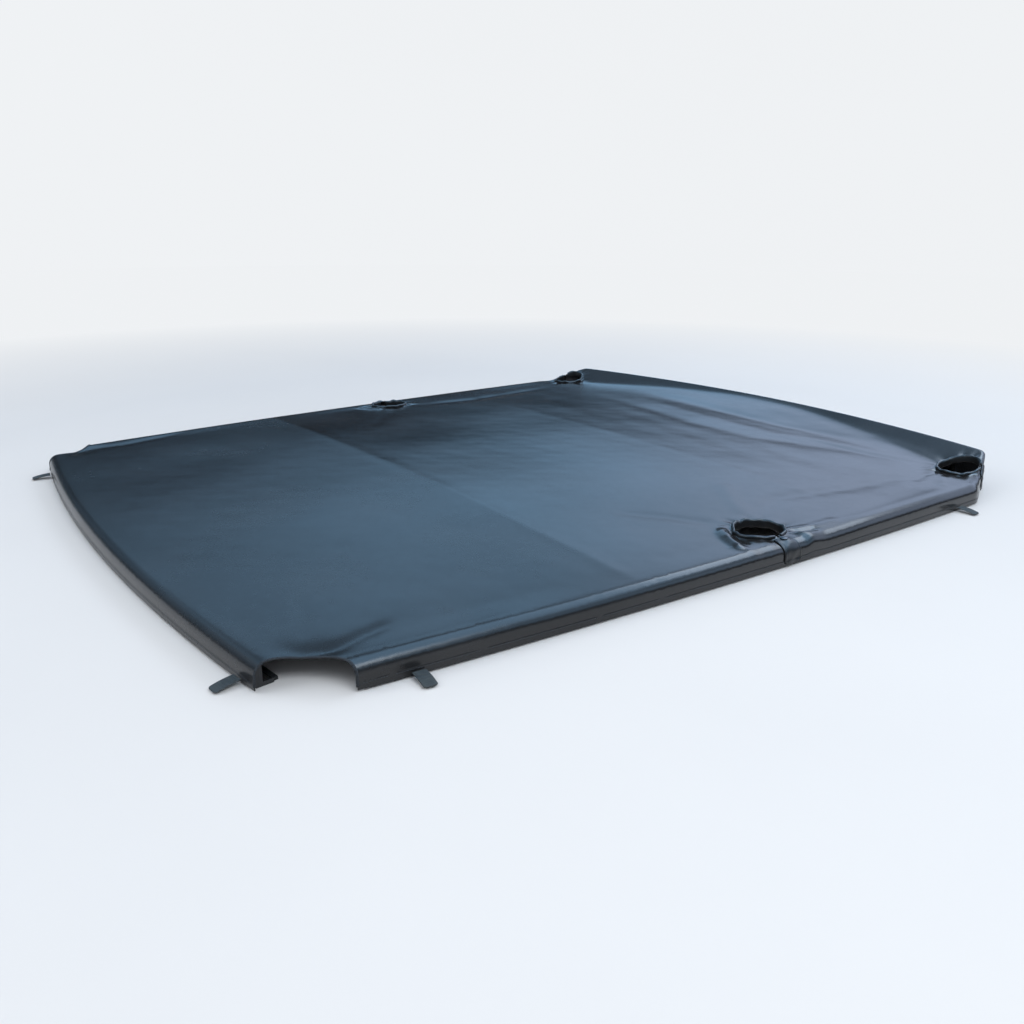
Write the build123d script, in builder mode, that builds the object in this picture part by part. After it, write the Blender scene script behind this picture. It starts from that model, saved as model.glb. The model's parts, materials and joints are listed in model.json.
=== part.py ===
from build123d import *
import os
from math import asin, atan2, cos, degrees, hypot, radians, sin, sqrt

os.makedirs("parts", exist_ok=True)

# Frame: +Y points to the cab, +X to the right, z = 0 is the underside of the rails.
# The origin is on the centreline, half way along the cover. Millimetres.

# ---- plan outline of the cover, at the outer face of its skirt ----
front_y = 956.0
tail_y = -956.0
header_radius = 2528.0
header_end_x = 715.0
tail_radius = 5000.0
tail_end_x = 648.0
side_radius = 15500.0
side_widest_x = 790.0
side_widest_y = 600.0
side_rear_y = -802.0
side_front_y = 690.0
notch_sagitta = 25.0

# ---- sheet ----
sheet = 2.5
hem_z = 3.0
header_hem_z = 50.0
edge_z = 42.0
crown_z = 60.0
bow_half_span = 780.0
rear_bow_y = -306.0
front_bow_y = 318.0
fold_y = 765.0
fold_z = 57.0
front_mid_z = 78.0
ramp_length = 100.0
ramp_foot_z = 45.0
lip_z = 85.0
roll_y = [-285.0, -460.0, -680.0, -798.0]
roll_gap = 0.4
crown_run_out = 44.0
block_margin = 60.0
block_low_z = -20.0
tool_low_z = -10.0
tool_height = 150.0

# ---- openings for the sports bar's four legs ----
leg_x = 700.0
rear_leg_y = 47.0
front_leg_y = 761.0
collar_wall = 2.8
collar_bore_x = 40.0
rear_bore_y = 46.0
front_bore_y = 42.0
opening_gap = 0.2
slit_width = 3.0
collar_bottom_z = 37.0
rear_collar_flange_z = 49.5
front_collar_flange_z = 74.0
collar_flange = 6.0
collar_flange_thick = 2.5
collar_gap = 6.0

# ---- edge rails and clips; u runs outward from the skirt's outer face ----
flange_in = -34.0
web_out = -9.0
web_thick = 2.5
flange_thick = 2.5
bulb_u = -12.0
bulb_z = 32.0
bulb_radius = 5.0
bulb_bore = 3.2
side_rail_rear_y = -784.0
side_rail_front_y = 686.0
tail_rail_x = 636.0
header_rail_x = 640.0
header_hem_end = 4.0
clip_margin = 2.0
clip_top_z = 20.0
bend_room = [58.0, 58.0, 22.0]
seal_width = 7.5
seal_height = 5.0
cap_thick = 3.0
mount_u = -23.0
mount_hole_radius = 2.7
side_mount_y = [-700.0, -480.0, -160.0, 0.0, 200.0, 440.0, 640.0]
tail_mount_x = [200.0, 520.0]
header_mount_x = [220.0, 560.0]

# ---- bows ----
bow_radius = 9.5
bow_bore = 8.0
bow_arc_radius = 11060.0
bow_mid_z = 47.2
bow_end_gap = 3.0
nose_radius = 4.5
nose_length = 13.0
plug_length = 30.0
plunger_travel = 12.0
pin_radius = 1.5
pin_at = 18.0
spring_length = 38.0
spring_radius = 6.0
spring_wire = 0.7
socket_in = -33.5
socket_out = -17.5
foot_out = -12.0
socket_height = 33.5
socket_half = 10.0
foot_half = 25.0
foot_thick = 3.0
screw_at = 18.0
pocket_radius = 5.0
pocket_depth = 12.0
screw_hole_radius = 2.2
screw_radius = 2.0
screw_foot_z = 0.3
screw_head_radius = 4.0
screw_head = 2.5
pin_half = 9.4
pin_hole_radius = 1.6
pin_slot_radius = 1.8
plunger_radius = 7.6
plug_radius = 7.9
nose_chamfer = 1.2
spring_turns = 8
spring_gap = 1.0
stop_gap = 1.2
stop_length = 4.0

# ---- pull tabs, flaps and press-studs ----
tab_width = 23.0
tab_length = 40.0
tab_thick = 2.4
tab_pivot_u = 3.0
tab_pivot_z = 9.0
tab_droop = 9.0
rear_tab_y = -714.0
front_tab_y = 610.0
tail_tab_x = 608.0
flap_thick = 2.5
flap_gap = 0.8
flap_half = 22.5
flap_corner = 14.0
rear_flap_start = 46.5
front_flap_start = 47.5
rear_flap_z = 44.2
front_flap_z = 63.8
rear_flap_drop = 34.0
front_flap_drop = 50.0
corner_rise = 16.3
stud_radius = 3.0
stud_hole_radius = 2.1
stud_at = 58.0
stud_steps = [(5.5, 37.6, 1.4), (2.0, 39.0, 4.4), (5.5, 43.4, 0.7), (stud_radius, 44.1, 3.0)]
cap_radius = 6.5
cap_rim = 1.2
cap_lift = 0.3
cap_stem = 3.0
cap_rim_at = 2.8
cap_rim_thick = 2.4
cap_socket = 3.4

# ---- derived plan geometry ----
side_centre = (side_widest_x - side_radius, side_widest_y)
tail_centre = (0.0, tail_y + tail_radius)
header_centre = (0.0, front_y - header_radius)


def side_x(y):
    return side_centre[0] + sqrt(side_radius**2 - (y - side_centre[1]) ** 2)


def tail_edge_y(x):
    return tail_centre[1] - sqrt(tail_radius**2 - x**2)


def header_edge_y(x):
    return header_centre[1] + sqrt(header_radius**2 - x**2)


side_rear = (side_x(side_rear_y), side_rear_y)
side_front = (side_x(side_front_y), side_front_y)
tail_end = (tail_end_x, tail_edge_y(tail_end_x))
rear_corner_y = side_rear_y
for _ in range(20):
    rear_corner_y = tail_edge_y(side_x(rear_corner_y))
rear_corner = (side_x(rear_corner_y), rear_corner_y)
header_end = (header_end_x, header_edge_y(header_end_x))

chord = (side_rear[0] - tail_end[0], side_rear[1] - tail_end[1])
half_chord = hypot(*chord) / 2
notch_radius = (half_chord**2 + notch_sagitta**2) / (2 * notch_sagitta)
away = (chord[1] / hypot(*chord), -chord[0] / hypot(*chord))
chord_mid = ((side_rear[0] + tail_end[0]) / 2, (side_rear[1] + tail_end[1]) / 2)
notch_centre = (
    chord_mid[0] + away[0] * (notch_radius - notch_sagitta),
    chord_mid[1] + away[1] * (notch_radius - notch_sagitta),
)

corner_run = (header_end[0] - side_front[0], header_end[1] - side_front[1])
corner_length = hypot(*corner_run)
corner_tangent = (corner_run[0] / corner_length, corner_run[1] / corner_length)
corner_normal = (corner_tangent[1], -corner_tangent[0])


def dot(a, b):
    return a[0] * b[0] + a[1] * b[1]


ramp_sweep = 2 * degrees(asin((header_end_x + block_margin) / header_radius))
rear_leg = (leg_x, rear_leg_y)
front_leg = (leg_x, front_leg_y)
rear_leg_reach = side_x(rear_leg_y) - leg_x
front_leg_reach = dot(corner_normal, side_front) - dot(corner_normal, front_leg)


# ---- helpers ----
def mirrored(point):
    return (-point[0], point[1])


def edge_plane(edge_point, outward, z=0.0):
    """A plane across an edge: local x runs outward, local y runs up."""
    return Plane(
        origin=(edge_point[0], edge_point[1], z),
        x_dir=(outward[0], outward[1], 0),
        z_dir=(outward[1], -outward[0], 0),
    )


def side_outward(y):
    angle = asin((y - side_centre[1]) / side_radius)
    return (cos(angle), sin(angle))


def side_sweep(y_start, y_end):
    start = asin((y_start - side_centre[1]) / side_radius)
    end = asin((y_end - side_centre[1]) / side_radius)
    return degrees(end - start)


def side_plane(y):
    return edge_plane((side_x(y), y), side_outward(y))


def tail_plane(x):
    return edge_plane((x, tail_edge_y(x)), (x / tail_radius, -sqrt(1 - (x / tail_radius) ** 2)))


def header_plane(x):
    out = (x / header_radius, sqrt(1 - (x / header_radius) ** 2))
    return edge_plane((x, header_edge_y(x)), out)


def upright(centre):
    return Axis((centre[0], centre[1], 0), (0, 0, 1))


def outline_face():
    """The cover's plan outline, before the rear corners are cut away."""
    with BuildSketch() as plan:
        with BuildLine():
            ThreePointArc(mirrored(rear_corner), (0, tail_y), rear_corner)
            ThreePointArc(rear_corner, (side_x(0), 0), side_front)
            Line(side_front, header_end)
            ThreePointArc(header_end, (0, front_y), mirrored(header_end))
            Line(mirrored(header_end), mirrored(side_front))
            ThreePointArc(mirrored(side_front), (-side_x(0), 0), mirrored(rear_corner))
        make_face()
    return plan.sketch


def crown_block(drop):
    """The space under the sheet's top face, lowered by drop: the crown over the bows and the ramp."""
    stations = [
        (tail_y - crown_run_out, edge_z + 0.5),
        (rear_bow_y, crown_z),
        (front_bow_y, crown_z),
        (fold_y, fold_z),
        (front_y + 4.0, front_mid_z),
    ]
    half = side_widest_x + block_margin
    slope = (lip_z - ramp_foot_z) / ramp_length
    ramp_end = 10.0
    ramp_top = lip_z + slope * ramp_end - drop
    with BuildPart() as block:
        for y, mid_z in stations:
            fall = (mid_z - edge_z) * (half / bow_half_span) ** 2
            with BuildSketch(Plane.XZ.offset(-y)):
                with BuildLine():
                    side_z = mid_z - fall - drop
                    ThreePointArc((-half, side_z), (0, mid_z - drop), (half, side_z))
                    Polyline((half, side_z), (half, block_low_z), (-half, block_low_z), (-half, side_z))
                make_face()
        loft(ruled=True)
        with BuildSketch(header_plane(header_end_x + block_margin)):
            Polygon(
                (ramp_end, block_low_z),
                (ramp_end, ramp_top),
                (ramp_end - (ramp_top - block_low_z) / slope, block_low_z),
                align=None,
            )
        revolve(axis=upright(header_centre), revolution_arc=ramp_sweep)
    return block.part


def slab(y_from, y_to):
    """A block across the whole cover between two places along it, for splitting the sheet."""
    with BuildPart() as block:
        with BuildSketch(Plane.XY.offset(tool_low_z)):
            with Locations((0, (y_from + y_to) / 2)):
                Rectangle(2 * (side_widest_x + block_margin), y_to - y_from)
        extrude(amount=tool_height)
    return block.part


def finish(piece, name):
    """Label a finished sub-part and write it."""
    piece.part.label = name
    export_step(piece.part, f"parts/{name}.step")


# ---- sections of the edge pieces, as (u, z) outlines ----
rail_section = [
    (flange_in, 0),
    (web_out, 0),
    (web_out, 7),
    (web_out + 2, 8),
    (web_out + 2, 9),
    (web_out, 10),
    (web_out, bulb_z - 4),
    (web_out - web_thick, bulb_z - 4),
    (web_out - web_thick, flange_thick),
    (flange_in, flange_thick),
]
clip_section = [
    (-6.5, hem_z),
    (-2.6, hem_z),
    (-2.6, clip_top_z),
    (-5.0, clip_top_z),
    (-5.0, hem_z + 2.5),
    (-6.5, hem_z + 2.5),
]
seal_section = [
    (flange_in - 0.5, 0),
    (flange_in - 0.5, seal_height),
    (flange_in - 0.5 - seal_width, seal_height),
    (flange_in - 0.5 - seal_width, 0),
]
cap_section = [
    (flange_in, 0),
    (web_out + 2, 0),
    (bulb_u + bulb_radius + 0.2, bulb_z - bulb_radius),
    (bulb_u + bulb_radius + 0.2, bulb_z + bulb_radius),
    (bulb_u - bulb_radius - 0.6, bulb_z + bulb_radius),
    (bulb_u - bulb_radius - 0.6, 6),
    (flange_in, 6),
]
header_web_top = 62.0
bead_u = -10.0
bead_z = 68.0
channel_radius = 6.5
channel_bore = 4.4
header_section = [
    (-45.0, 0),
    (web_out, 0),
    (web_out, header_web_top),
    (web_out - 3, header_web_top),
    (web_out - 3, 3),
    (-45.0, 3),
]
header_seal_section = [(-53.0, 0), (-45.5, 0), (-45.5, seal_height), (-53.0, seal_height)]
header_cap_section = [
    (-45.0, 0),
    (-8.0, 0),
    (-3.5, bead_z - 7),
    (-3.5, bead_z + 6.5),
    (-16.5, bead_z + 6.5),
    (-16.5, 6),
    (-45.0, 6),
]


def swept(section, plane, centre, sweep):
    """A plain section carried round an edge's arc."""
    with BuildPart() as piece:
        with BuildSketch(plane):
            Polygon(*section, align=None)
        revolve(axis=upright(centre), revolution_arc=sweep)
    return piece.part


def rail(plane, centre, sweep):
    """Base flange, web, catch bead and hollow top bulb."""
    with BuildPart() as piece:
        with BuildSketch(plane):
            Polygon(*rail_section, align=None)
            with Locations((bulb_u, bulb_z)):
                Circle(bulb_radius)
                Circle(bulb_bore, mode=Mode.SUBTRACT)
        revolve(axis=upright(centre), revolution_arc=sweep)
    return piece.part


def end_cap(section, plane, outward_sign):
    with BuildPart() as piece:
        with BuildSketch(plane):
            Polygon(*section, align=None)
        extrude(amount=outward_sign * cap_thick)
    return piece.part


# ---- the sheet, still in one piece ----
inner_outline = offset(outline_face(), amount=-sheet, kind=Kind.INTERSECTION)
with BuildPart() as hollow:
    with BuildSketch(Plane.XY.offset(tool_low_z)):
        add(inner_outline)
    extrude(amount=tool_height)
    add(crown_block(sheet), mode=Mode.INTERSECT)

with BuildPart() as whole_sheet:
    with BuildSketch(Plane.XY.offset(hem_z)):
        add(outline_face())
    extrude(amount=tool_height)
    add(crown_block(0), mode=Mode.INTERSECT)
    add(hollow.part, mode=Mode.SUBTRACT)
    with BuildSketch(Plane.XY.offset(tool_low_z)):
        with Locations(notch_centre, mirrored(notch_centre)):
            Circle(notch_radius)
    extrude(amount=tool_height, mode=Mode.SUBTRACT)


# ---- the fixed front of the sheet, with its openings and slits ----
def opening_cutter(leg, bore_y, outward, reach):
    """Oval leg opening with a slit from it out through the skirt."""
    base = Plane(origin=(leg[0], leg[1], tool_low_z), x_dir=(outward[0], outward[1], 0), z_dir=(0, 0, 1))
    with BuildPart() as cutter:
        with BuildSketch(Plane.XY.offset(tool_low_z)):
            with Locations(leg):
                Ellipse(collar_bore_x + collar_wall + opening_gap, bore_y + collar_wall + opening_gap)
        extrude(amount=tool_height)
        with BuildSketch(base):
            with Locations((reach / 2 + 10, 0)):
                Rectangle(reach, slit_width)
        extrude(amount=tool_height)
    return cutter.part


cutters = [
    opening_cutter(rear_leg, rear_bore_y, (1, 0), rear_leg_reach),
    opening_cutter(front_leg, front_bore_y, corner_normal, front_leg_reach),
]
header_hem_x = header_rail_x + header_hem_end
header_skirt_y = header_edge_y(header_hem_x) - 30
with BuildPart() as front_skin:
    add(whole_sheet.part)
    add(slab(roll_y[0] + roll_gap / 2, front_y + 10), mode=Mode.INTERSECT)
    for cutter in cutters:
        add(cutter, mode=Mode.SUBTRACT)
        mirror(cutter, about=Plane.YZ, mode=Mode.SUBTRACT)
    with BuildSketch(Plane.XY.offset(tool_low_z)):
        with Locations((leg_x + stud_at, rear_leg_y), (-leg_x - stud_at, rear_leg_y)):
            Circle(stud_hole_radius)
    extrude(amount=tool_height, mode=Mode.SUBTRACT)
    with BuildSketch(Plane.XY.offset(tool_low_z)):
        with Locations((0, header_skirt_y)):
            Rectangle(2 * header_hem_x, front_y - header_skirt_y + 10, align=(Align.CENTER, Align.MIN))
    extrude(amount=header_hem_z - tool_low_z, mode=Mode.SUBTRACT)
finish(front_skin, "front_skin")


# ---- the rear of the sheet, in the four panels that roll up ----
panel_ends = roll_y[1:] + [tail_y - 10]
for number, (y_start, y_end) in enumerate(zip(roll_y, panel_ends), 1):
    rear_gap = roll_gap / 2 if number < 4 else 0
    with BuildPart() as rear_skin:
        add(whole_sheet.part)
        add(slab(y_end + rear_gap, y_start - roll_gap / 2), mode=Mode.INTERSECT)
    finish(rear_skin, f"rear_skin_{number}")


# ---- rails ----
side_mounts = [(side_x(y) + mount_u, y) for y in side_mount_y]
foot_mid = (socket_in + foot_out) / 2
socket_screws_at = []
for bow_y in (rear_bow_y, front_bow_y):
    for step in (-screw_at, screw_at):
        out = side_outward(bow_y)
        socket_screws_at.append(
            (side_x(bow_y) + foot_mid * out[0] - step * out[1], bow_y + foot_mid * out[1] + step * out[0])
        )
with BuildPart() as side_rail_right:
    add(rail(side_plane(side_rail_rear_y), side_centre, side_sweep(side_rail_rear_y, side_rail_front_y)))
    with BuildSketch(Plane.XY.offset(-1)):
        with Locations(*side_mounts):
            Circle(mount_hole_radius)
    extrude(amount=flange_thick + 2, mode=Mode.SUBTRACT)
    with BuildSketch(Plane.XY.offset(-1)):
        with Locations(*socket_screws_at):
            Circle(screw_hole_radius)
    extrude(amount=flange_thick + 2, mode=Mode.SUBTRACT)
finish(side_rail_right, "side_rail_right")

with BuildPart() as side_rail_left:
    mirror(side_rail_right.part, about=Plane.YZ)
finish(side_rail_left, "side_rail_left")

tail_sweep = 2 * degrees(asin(tail_rail_x / tail_radius))
tail_mounts = []
for x in tail_mount_x:
    tail_mounts += [(x, tail_edge_y(x) - mount_u), (-x, tail_edge_y(x) - mount_u)]
with BuildPart() as tail_rail:
    add(rail(tail_plane(-tail_rail_x), tail_centre, tail_sweep))
    with BuildSketch(Plane.XY.offset(-1)):
        with Locations(*tail_mounts):
            Circle(mount_hole_radius)
    extrude(amount=flange_thick + 2, mode=Mode.SUBTRACT)
finish(tail_rail, "tail_rail")

header_sweep = 2 * degrees(asin(header_rail_x / header_radius))
header_mounts = []
for x in header_mount_x:
    header_mounts += [(x, header_edge_y(x) + mount_u), (-x, header_edge_y(x) + mount_u)]
with BuildPart() as header_rail:
    with BuildSketch(header_plane(header_rail_x)):
        Polygon(*header_section, align=None)
        with Locations((bead_u, bead_z)):
            Circle(channel_radius)
            Circle(channel_bore, mode=Mode.SUBTRACT)
        with Locations((bead_u + channel_radius, bead_z)):
            Rectangle(2 * channel_radius - 2, 2.8, mode=Mode.SUBTRACT)
    revolve(axis=upright(header_centre), revolution_arc=header_sweep)
    with BuildSketch(Plane.XY.offset(-1)):
        with Locations(*header_mounts):
            Circle(mount_hole_radius)
    extrude(amount=flange_thick + 2, mode=Mode.SUBTRACT)
finish(header_rail, "header_rail")

bead_x = header_rail_x - 4
bead_sweep = 2 * degrees(asin(bead_x / header_radius))
with BuildPart() as header_bead:
    with BuildSketch(header_plane(bead_x)):
        with Locations((bead_u, bead_z)):
            Circle(3.6)
        with Locations(((bead_u - sheet) / 2, bead_z)):
            Rectangle(-bead_u - sheet - 0.4, 1.0)
    revolve(axis=upright(header_centre), revolution_arc=bead_sweep)
finish(header_bead, "header_bead")

# ---- seals along the rails' inner edges ----
with BuildPart() as side_seal_right:
    add(
        swept(
            seal_section,
            side_plane(side_rail_rear_y),
            side_centre,
            side_sweep(side_rail_rear_y, side_rail_front_y),
        )
    )
finish(side_seal_right, "side_seal_right")

with BuildPart() as side_seal_left:
    mirror(side_seal_right.part, about=Plane.YZ)
finish(side_seal_left, "side_seal_left")

with BuildPart() as tail_seal:
    add(swept(seal_section, tail_plane(-tail_rail_x), tail_centre, tail_sweep))
finish(tail_seal, "tail_seal")

with BuildPart() as header_seal:
    add(swept(header_seal_section, header_plane(header_rail_x), header_centre, header_sweep))
finish(header_seal, "header_seal")

# ---- end caps ----
with BuildPart() as rail_end_caps:
    add(end_cap(cap_section, side_plane(side_rail_rear_y), 1))
    add(end_cap(cap_section, side_plane(side_rail_front_y), -1))
    add(end_cap(cap_section, tail_plane(tail_rail_x), -1))
    mirror(about=Plane.YZ)
finish(rail_end_caps, "rail_end_caps")

with BuildPart() as header_end_caps:
    add(end_cap(header_cap_section, header_plane(header_rail_x), 1))
    mirror(about=Plane.YZ)
finish(header_end_caps, "header_end_caps")


# ---- clip extrusions inside the skirt ----
def side_clip(y_rear, y_front):
    return swept(clip_section, side_plane(y_rear), side_centre, side_sweep(y_rear, y_front))


for number, (y_start, y_end, room) in enumerate(zip(roll_y, roll_y[1:], bend_room), 1):
    with BuildPart() as side_clips:
        add(side_clip(y_end + clip_margin, y_start - room))
        mirror(about=Plane.YZ)
    finish(side_clips, f"side_clips_{number}")

slit_margin = 5.0
with BuildPart() as front_clip_right:
    add(side_clip(roll_y[0] + clip_margin, rear_leg_y - slit_margin))
    add(side_clip(rear_leg_y + slit_margin, side_rail_front_y))
finish(front_clip_right, "front_clip_right")

with BuildPart() as front_clip_left:
    mirror(front_clip_right.part, about=Plane.YZ)
finish(front_clip_left, "front_clip_left")

with BuildPart() as tail_clip:
    add(swept(clip_section, tail_plane(-tail_rail_x), tail_centre, tail_sweep))
finish(tail_clip, "tail_clip")


# ---- folded bindings on the sheet's edge round the two corner notches ----
binding_margin = 9.0
binding_outer = [(-7.0, 38.7), (1.4, 38.7), (1.4, 44.6), (-7.0, 44.6)]
binding_slot = [(-8.0, 39.8), (0.15, 39.8), (0.15, 43.5), (-8.0, 43.5)]
binding_turn = binding_margin / notch_radius
start_angle = atan2(side_rear[1] - notch_centre[1], side_rear[0] - notch_centre[0]) + binding_turn
end_angle = atan2(tail_end[1] - notch_centre[1], tail_end[0] - notch_centre[0]) - binding_turn
binding_sweep = degrees(end_angle - start_angle) % 360
binding_out = (-cos(start_angle), -sin(start_angle))
binding_start = (
    notch_centre[0] - notch_radius * binding_out[0],
    notch_centre[1] - notch_radius * binding_out[1],
)
with BuildPart() as notch_bindings:
    with BuildSketch(edge_plane(binding_start, binding_out)):
        Polygon(*binding_outer, align=None)
        Polygon(*binding_slot, align=None, mode=Mode.SUBTRACT)
    revolve(axis=upright(notch_centre), revolution_arc=binding_sweep)
    mirror(about=Plane.YZ)
finish(notch_bindings, "notch_bindings")


# ---- bows, with a fixed plug at the left and a spring plunger at the right ----
def bow_end(bow_y):
    """Plane at the bow's right end: origin on the tube's axis, local z outward along it, local x along +Y."""
    end_x = side_x(bow_y) + socket_in - bow_end_gap
    turn = asin(end_x / bow_arc_radius)
    z = bow_mid_z - bow_arc_radius * (1 - cos(turn))
    return Plane(origin=(end_x, bow_y, z), x_dir=(0, 1, 0), z_dir=(cos(turn), 0, -sin(turn)))


def rod(plane, radius, start, length):
    """A cylinder along the bow's axis, from start along local z."""
    with BuildPart() as piece:
        with BuildSketch(plane.offset(start)):
            Circle(radius)
        extrude(amount=length)
    return piece.part


def cross_plane(plane, along):
    """A plane through the bow's axis at a distance along it, facing across the tube in +Y."""
    origin = plane.from_local_coords((0, 0, along))
    return Plane(origin=origin, x_dir=plane.z_dir, z_dir=plane.x_dir)


def cross_pin(plane, radius, half_length):
    with BuildPart() as piece:
        with BuildSketch(cross_plane(plane, -pin_at)):
            Circle(radius)
        extrude(amount=half_length, both=True)
    return piece.part


spring_start = -(plug_length + spring_gap + spring_length)
stop_start = spring_start - stop_gap - stop_length
for name, bow_y in (("rear", rear_bow_y), ("front", front_bow_y)):
    end = bow_end(bow_y)
    with BuildPart() as bow:
        with BuildLine() as bow_line:
            Spline(end.origin, (0, bow_y, bow_mid_z), tangents=[-end.z_dir, (-1, 0, 0)])
        with BuildSketch(end):
            Circle(bow_radius)
            Circle(bow_bore, mode=Mode.SUBTRACT)
        sweep(path=bow_line.line)
        mirror(about=Plane.YZ)
        add(cross_pin(end, pin_hole_radius, bow_radius + 1), mode=Mode.SUBTRACT)
    finish(bow, f"{name}_bow")

    with BuildPart() as plunger:
        add(rod(end, plunger_radius, -plug_length, plug_length))
        add(rod(end, nose_radius, 0, nose_length))
        nose_tip = plunger.edges().filter_by(GeomType.CIRCLE).sort_by(Axis.X)[-1]
        chamfer(nose_tip, nose_chamfer)
        with BuildSketch(cross_plane(end, -pin_at)):
            with Locations((plunger_travel / 2, 0)):
                SlotOverall(plunger_travel + 2 * pin_slot_radius, 2 * pin_slot_radius)
        extrude(amount=plunger_radius + 1, both=True, mode=Mode.SUBTRACT)
    finish(plunger, f"bow_plunger_{name}")

    with BuildPart() as spring:
        spring_base = end.offset(spring_start)
        with BuildLine():
            coil = Helix(
                pitch=spring_length / spring_turns,
                height=spring_length,
                radius=spring_radius,
                center=spring_base.origin,
                direction=spring_base.z_dir,
            )
        with BuildSketch(Plane(origin=coil @ 0, z_dir=coil % 0)):
            Circle(spring_wire)
        sweep(path=coil, is_frenet=True)
    finish(spring, f"bow_spring_{name}")

with BuildPart() as bow_end_plugs:
    for bow_y in (rear_bow_y, front_bow_y):
        add(rod(bow_end(bow_y), plug_radius, -plug_length, plug_length))
        add(rod(bow_end(bow_y), nose_radius, 0, nose_length))
    mirror(about=Plane.YZ, mode=Mode.REPLACE)
finish(bow_end_plugs, "bow_end_plugs")

with BuildPart() as spring_stops:
    for bow_y in (rear_bow_y, front_bow_y):
        add(rod(bow_end(bow_y), plunger_radius, stop_start, stop_length))
finish(spring_stops, "spring_stops")

with BuildPart() as plunger_pins:
    for bow_y in (rear_bow_y, front_bow_y):
        add(cross_pin(bow_end(bow_y), pin_radius, pin_half))
finish(plunger_pins, "plunger_pins")


# ---- bow sockets and their screws ----
def socket_plane(bow_y):
    """The top of the rail's flange at a bow, with local x running outward."""
    out = side_outward(bow_y)
    return Plane(origin=(side_x(bow_y), bow_y, flange_thick), x_dir=(out[0], out[1], 0), z_dir=(0, 0, 1))


with BuildPart() as bow_sockets:
    for bow_y in (rear_bow_y, front_bow_y):
        with BuildSketch(socket_plane(bow_y)):
            with Locations(((socket_in + socket_out) / 2, 0)):
                Rectangle(socket_out - socket_in, 2 * socket_half)
        extrude(amount=socket_height)
        with BuildSketch(socket_plane(bow_y)):
            with Locations((foot_mid, 0)):
                RectangleRounded(foot_out - socket_in, 2 * foot_half, 4)
        extrude(amount=foot_thick)
        add(rod(bow_end(bow_y), pocket_radius, 0, bow_end_gap + pocket_depth), mode=Mode.SUBTRACT)
    with BuildSketch(Plane.XY.offset(flange_thick)):
        with Locations(*socket_screws_at):
            Circle(screw_hole_radius)
    extrude(amount=foot_thick, mode=Mode.SUBTRACT)
    mirror(about=Plane.YZ)
finish(bow_sockets, "bow_sockets")

screw_head_z = flange_thick + foot_thick
with BuildPart() as socket_screws:
    with BuildSketch(Plane.XY.offset(screw_foot_z)):
        with Locations(*socket_screws_at):
            Circle(screw_radius)
    extrude(amount=screw_head_z)
    with BuildSketch(Plane.XY.offset(screw_head_z)):
        with Locations(*socket_screws_at):
            Circle(screw_head_radius)
    extrude(amount=screw_head)
    mirror(about=Plane.YZ)
finish(socket_screws, "socket_screws")


# ---- C-shaped collars round the four openings ----
def leg_collar(leg, bore_y, outward, flange_z):
    """A wall through the opening with a flange over the sheet, open where the slit starts."""
    with BuildPart() as collar:
        with BuildSketch(Plane.XY.offset(collar_bottom_z)):
            with Locations(leg):
                Ellipse(collar_bore_x + collar_wall, bore_y + collar_wall)
                Ellipse(collar_bore_x, bore_y, mode=Mode.SUBTRACT)
        extrude(amount=flange_z - collar_bottom_z)
        with BuildSketch(Plane.XY.offset(flange_z)):
            with Locations(leg):
                Ellipse(collar_bore_x + collar_flange, bore_y + collar_flange)
                Ellipse(collar_bore_x, bore_y, mode=Mode.SUBTRACT)
        extrude(amount=collar_flange_thick)
        gap = Plane(origin=(leg[0], leg[1], 0), x_dir=(outward[0], outward[1], 0), z_dir=(0, 0, 1))
        with BuildSketch(gap):
            with Locations((collar_bore_x, 0)):
                Rectangle(collar_bore_x, collar_gap)
        extrude(amount=tool_height, mode=Mode.SUBTRACT)
    return collar


leg_collar_rear_right = leg_collar(rear_leg, rear_bore_y, (1, 0), rear_collar_flange_z)
finish(leg_collar_rear_right, "leg_collar_rear_right")
leg_collar_front_right = leg_collar(front_leg, front_bore_y, corner_normal, front_collar_flange_z)
finish(leg_collar_front_right, "leg_collar_front_right")
for name, source in (("rear", leg_collar_rear_right), ("front", leg_collar_front_right)):
    with BuildPart() as leg_collar_left:
        mirror(source.part, about=Plane.YZ)
    finish(leg_collar_left, f"leg_collar_{name}_left")


# ---- flaps over the slits, hinged along their forward edge ----
def slit_flap(leg, outward, rise, start, reach, top_z, drop):
    """An L-shaped tongue: a short top leaf, then down the outside of the skirt."""
    along = (-outward[1] * cos(rise), outward[0] * cos(rise), sin(rise))
    base = Plane(
        origin=(leg[0], leg[1], top_z),
        x_dir=(outward[0], outward[1], 0),
        z_dir=(-along[0], -along[1], -along[2]),
    )
    face = reach + flap_gap
    tongue = [
        (start, 0),
        (face, 0),
        (face, -drop),
        (face + flap_thick, -drop),
        (face + flap_thick, flap_thick),
        (start, flap_thick),
    ]
    with BuildPart() as flap:
        with BuildSketch(base):
            Polygon(*tongue, align=None)
        extrude(amount=flap_half, both=True)
        across = flap.edges().filter_by(Axis((0, 0, 0), (outward[0], outward[1], 0)))
        fillet(across.sort_by(Axis.Z)[:2], flap_corner)
    return flap


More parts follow.
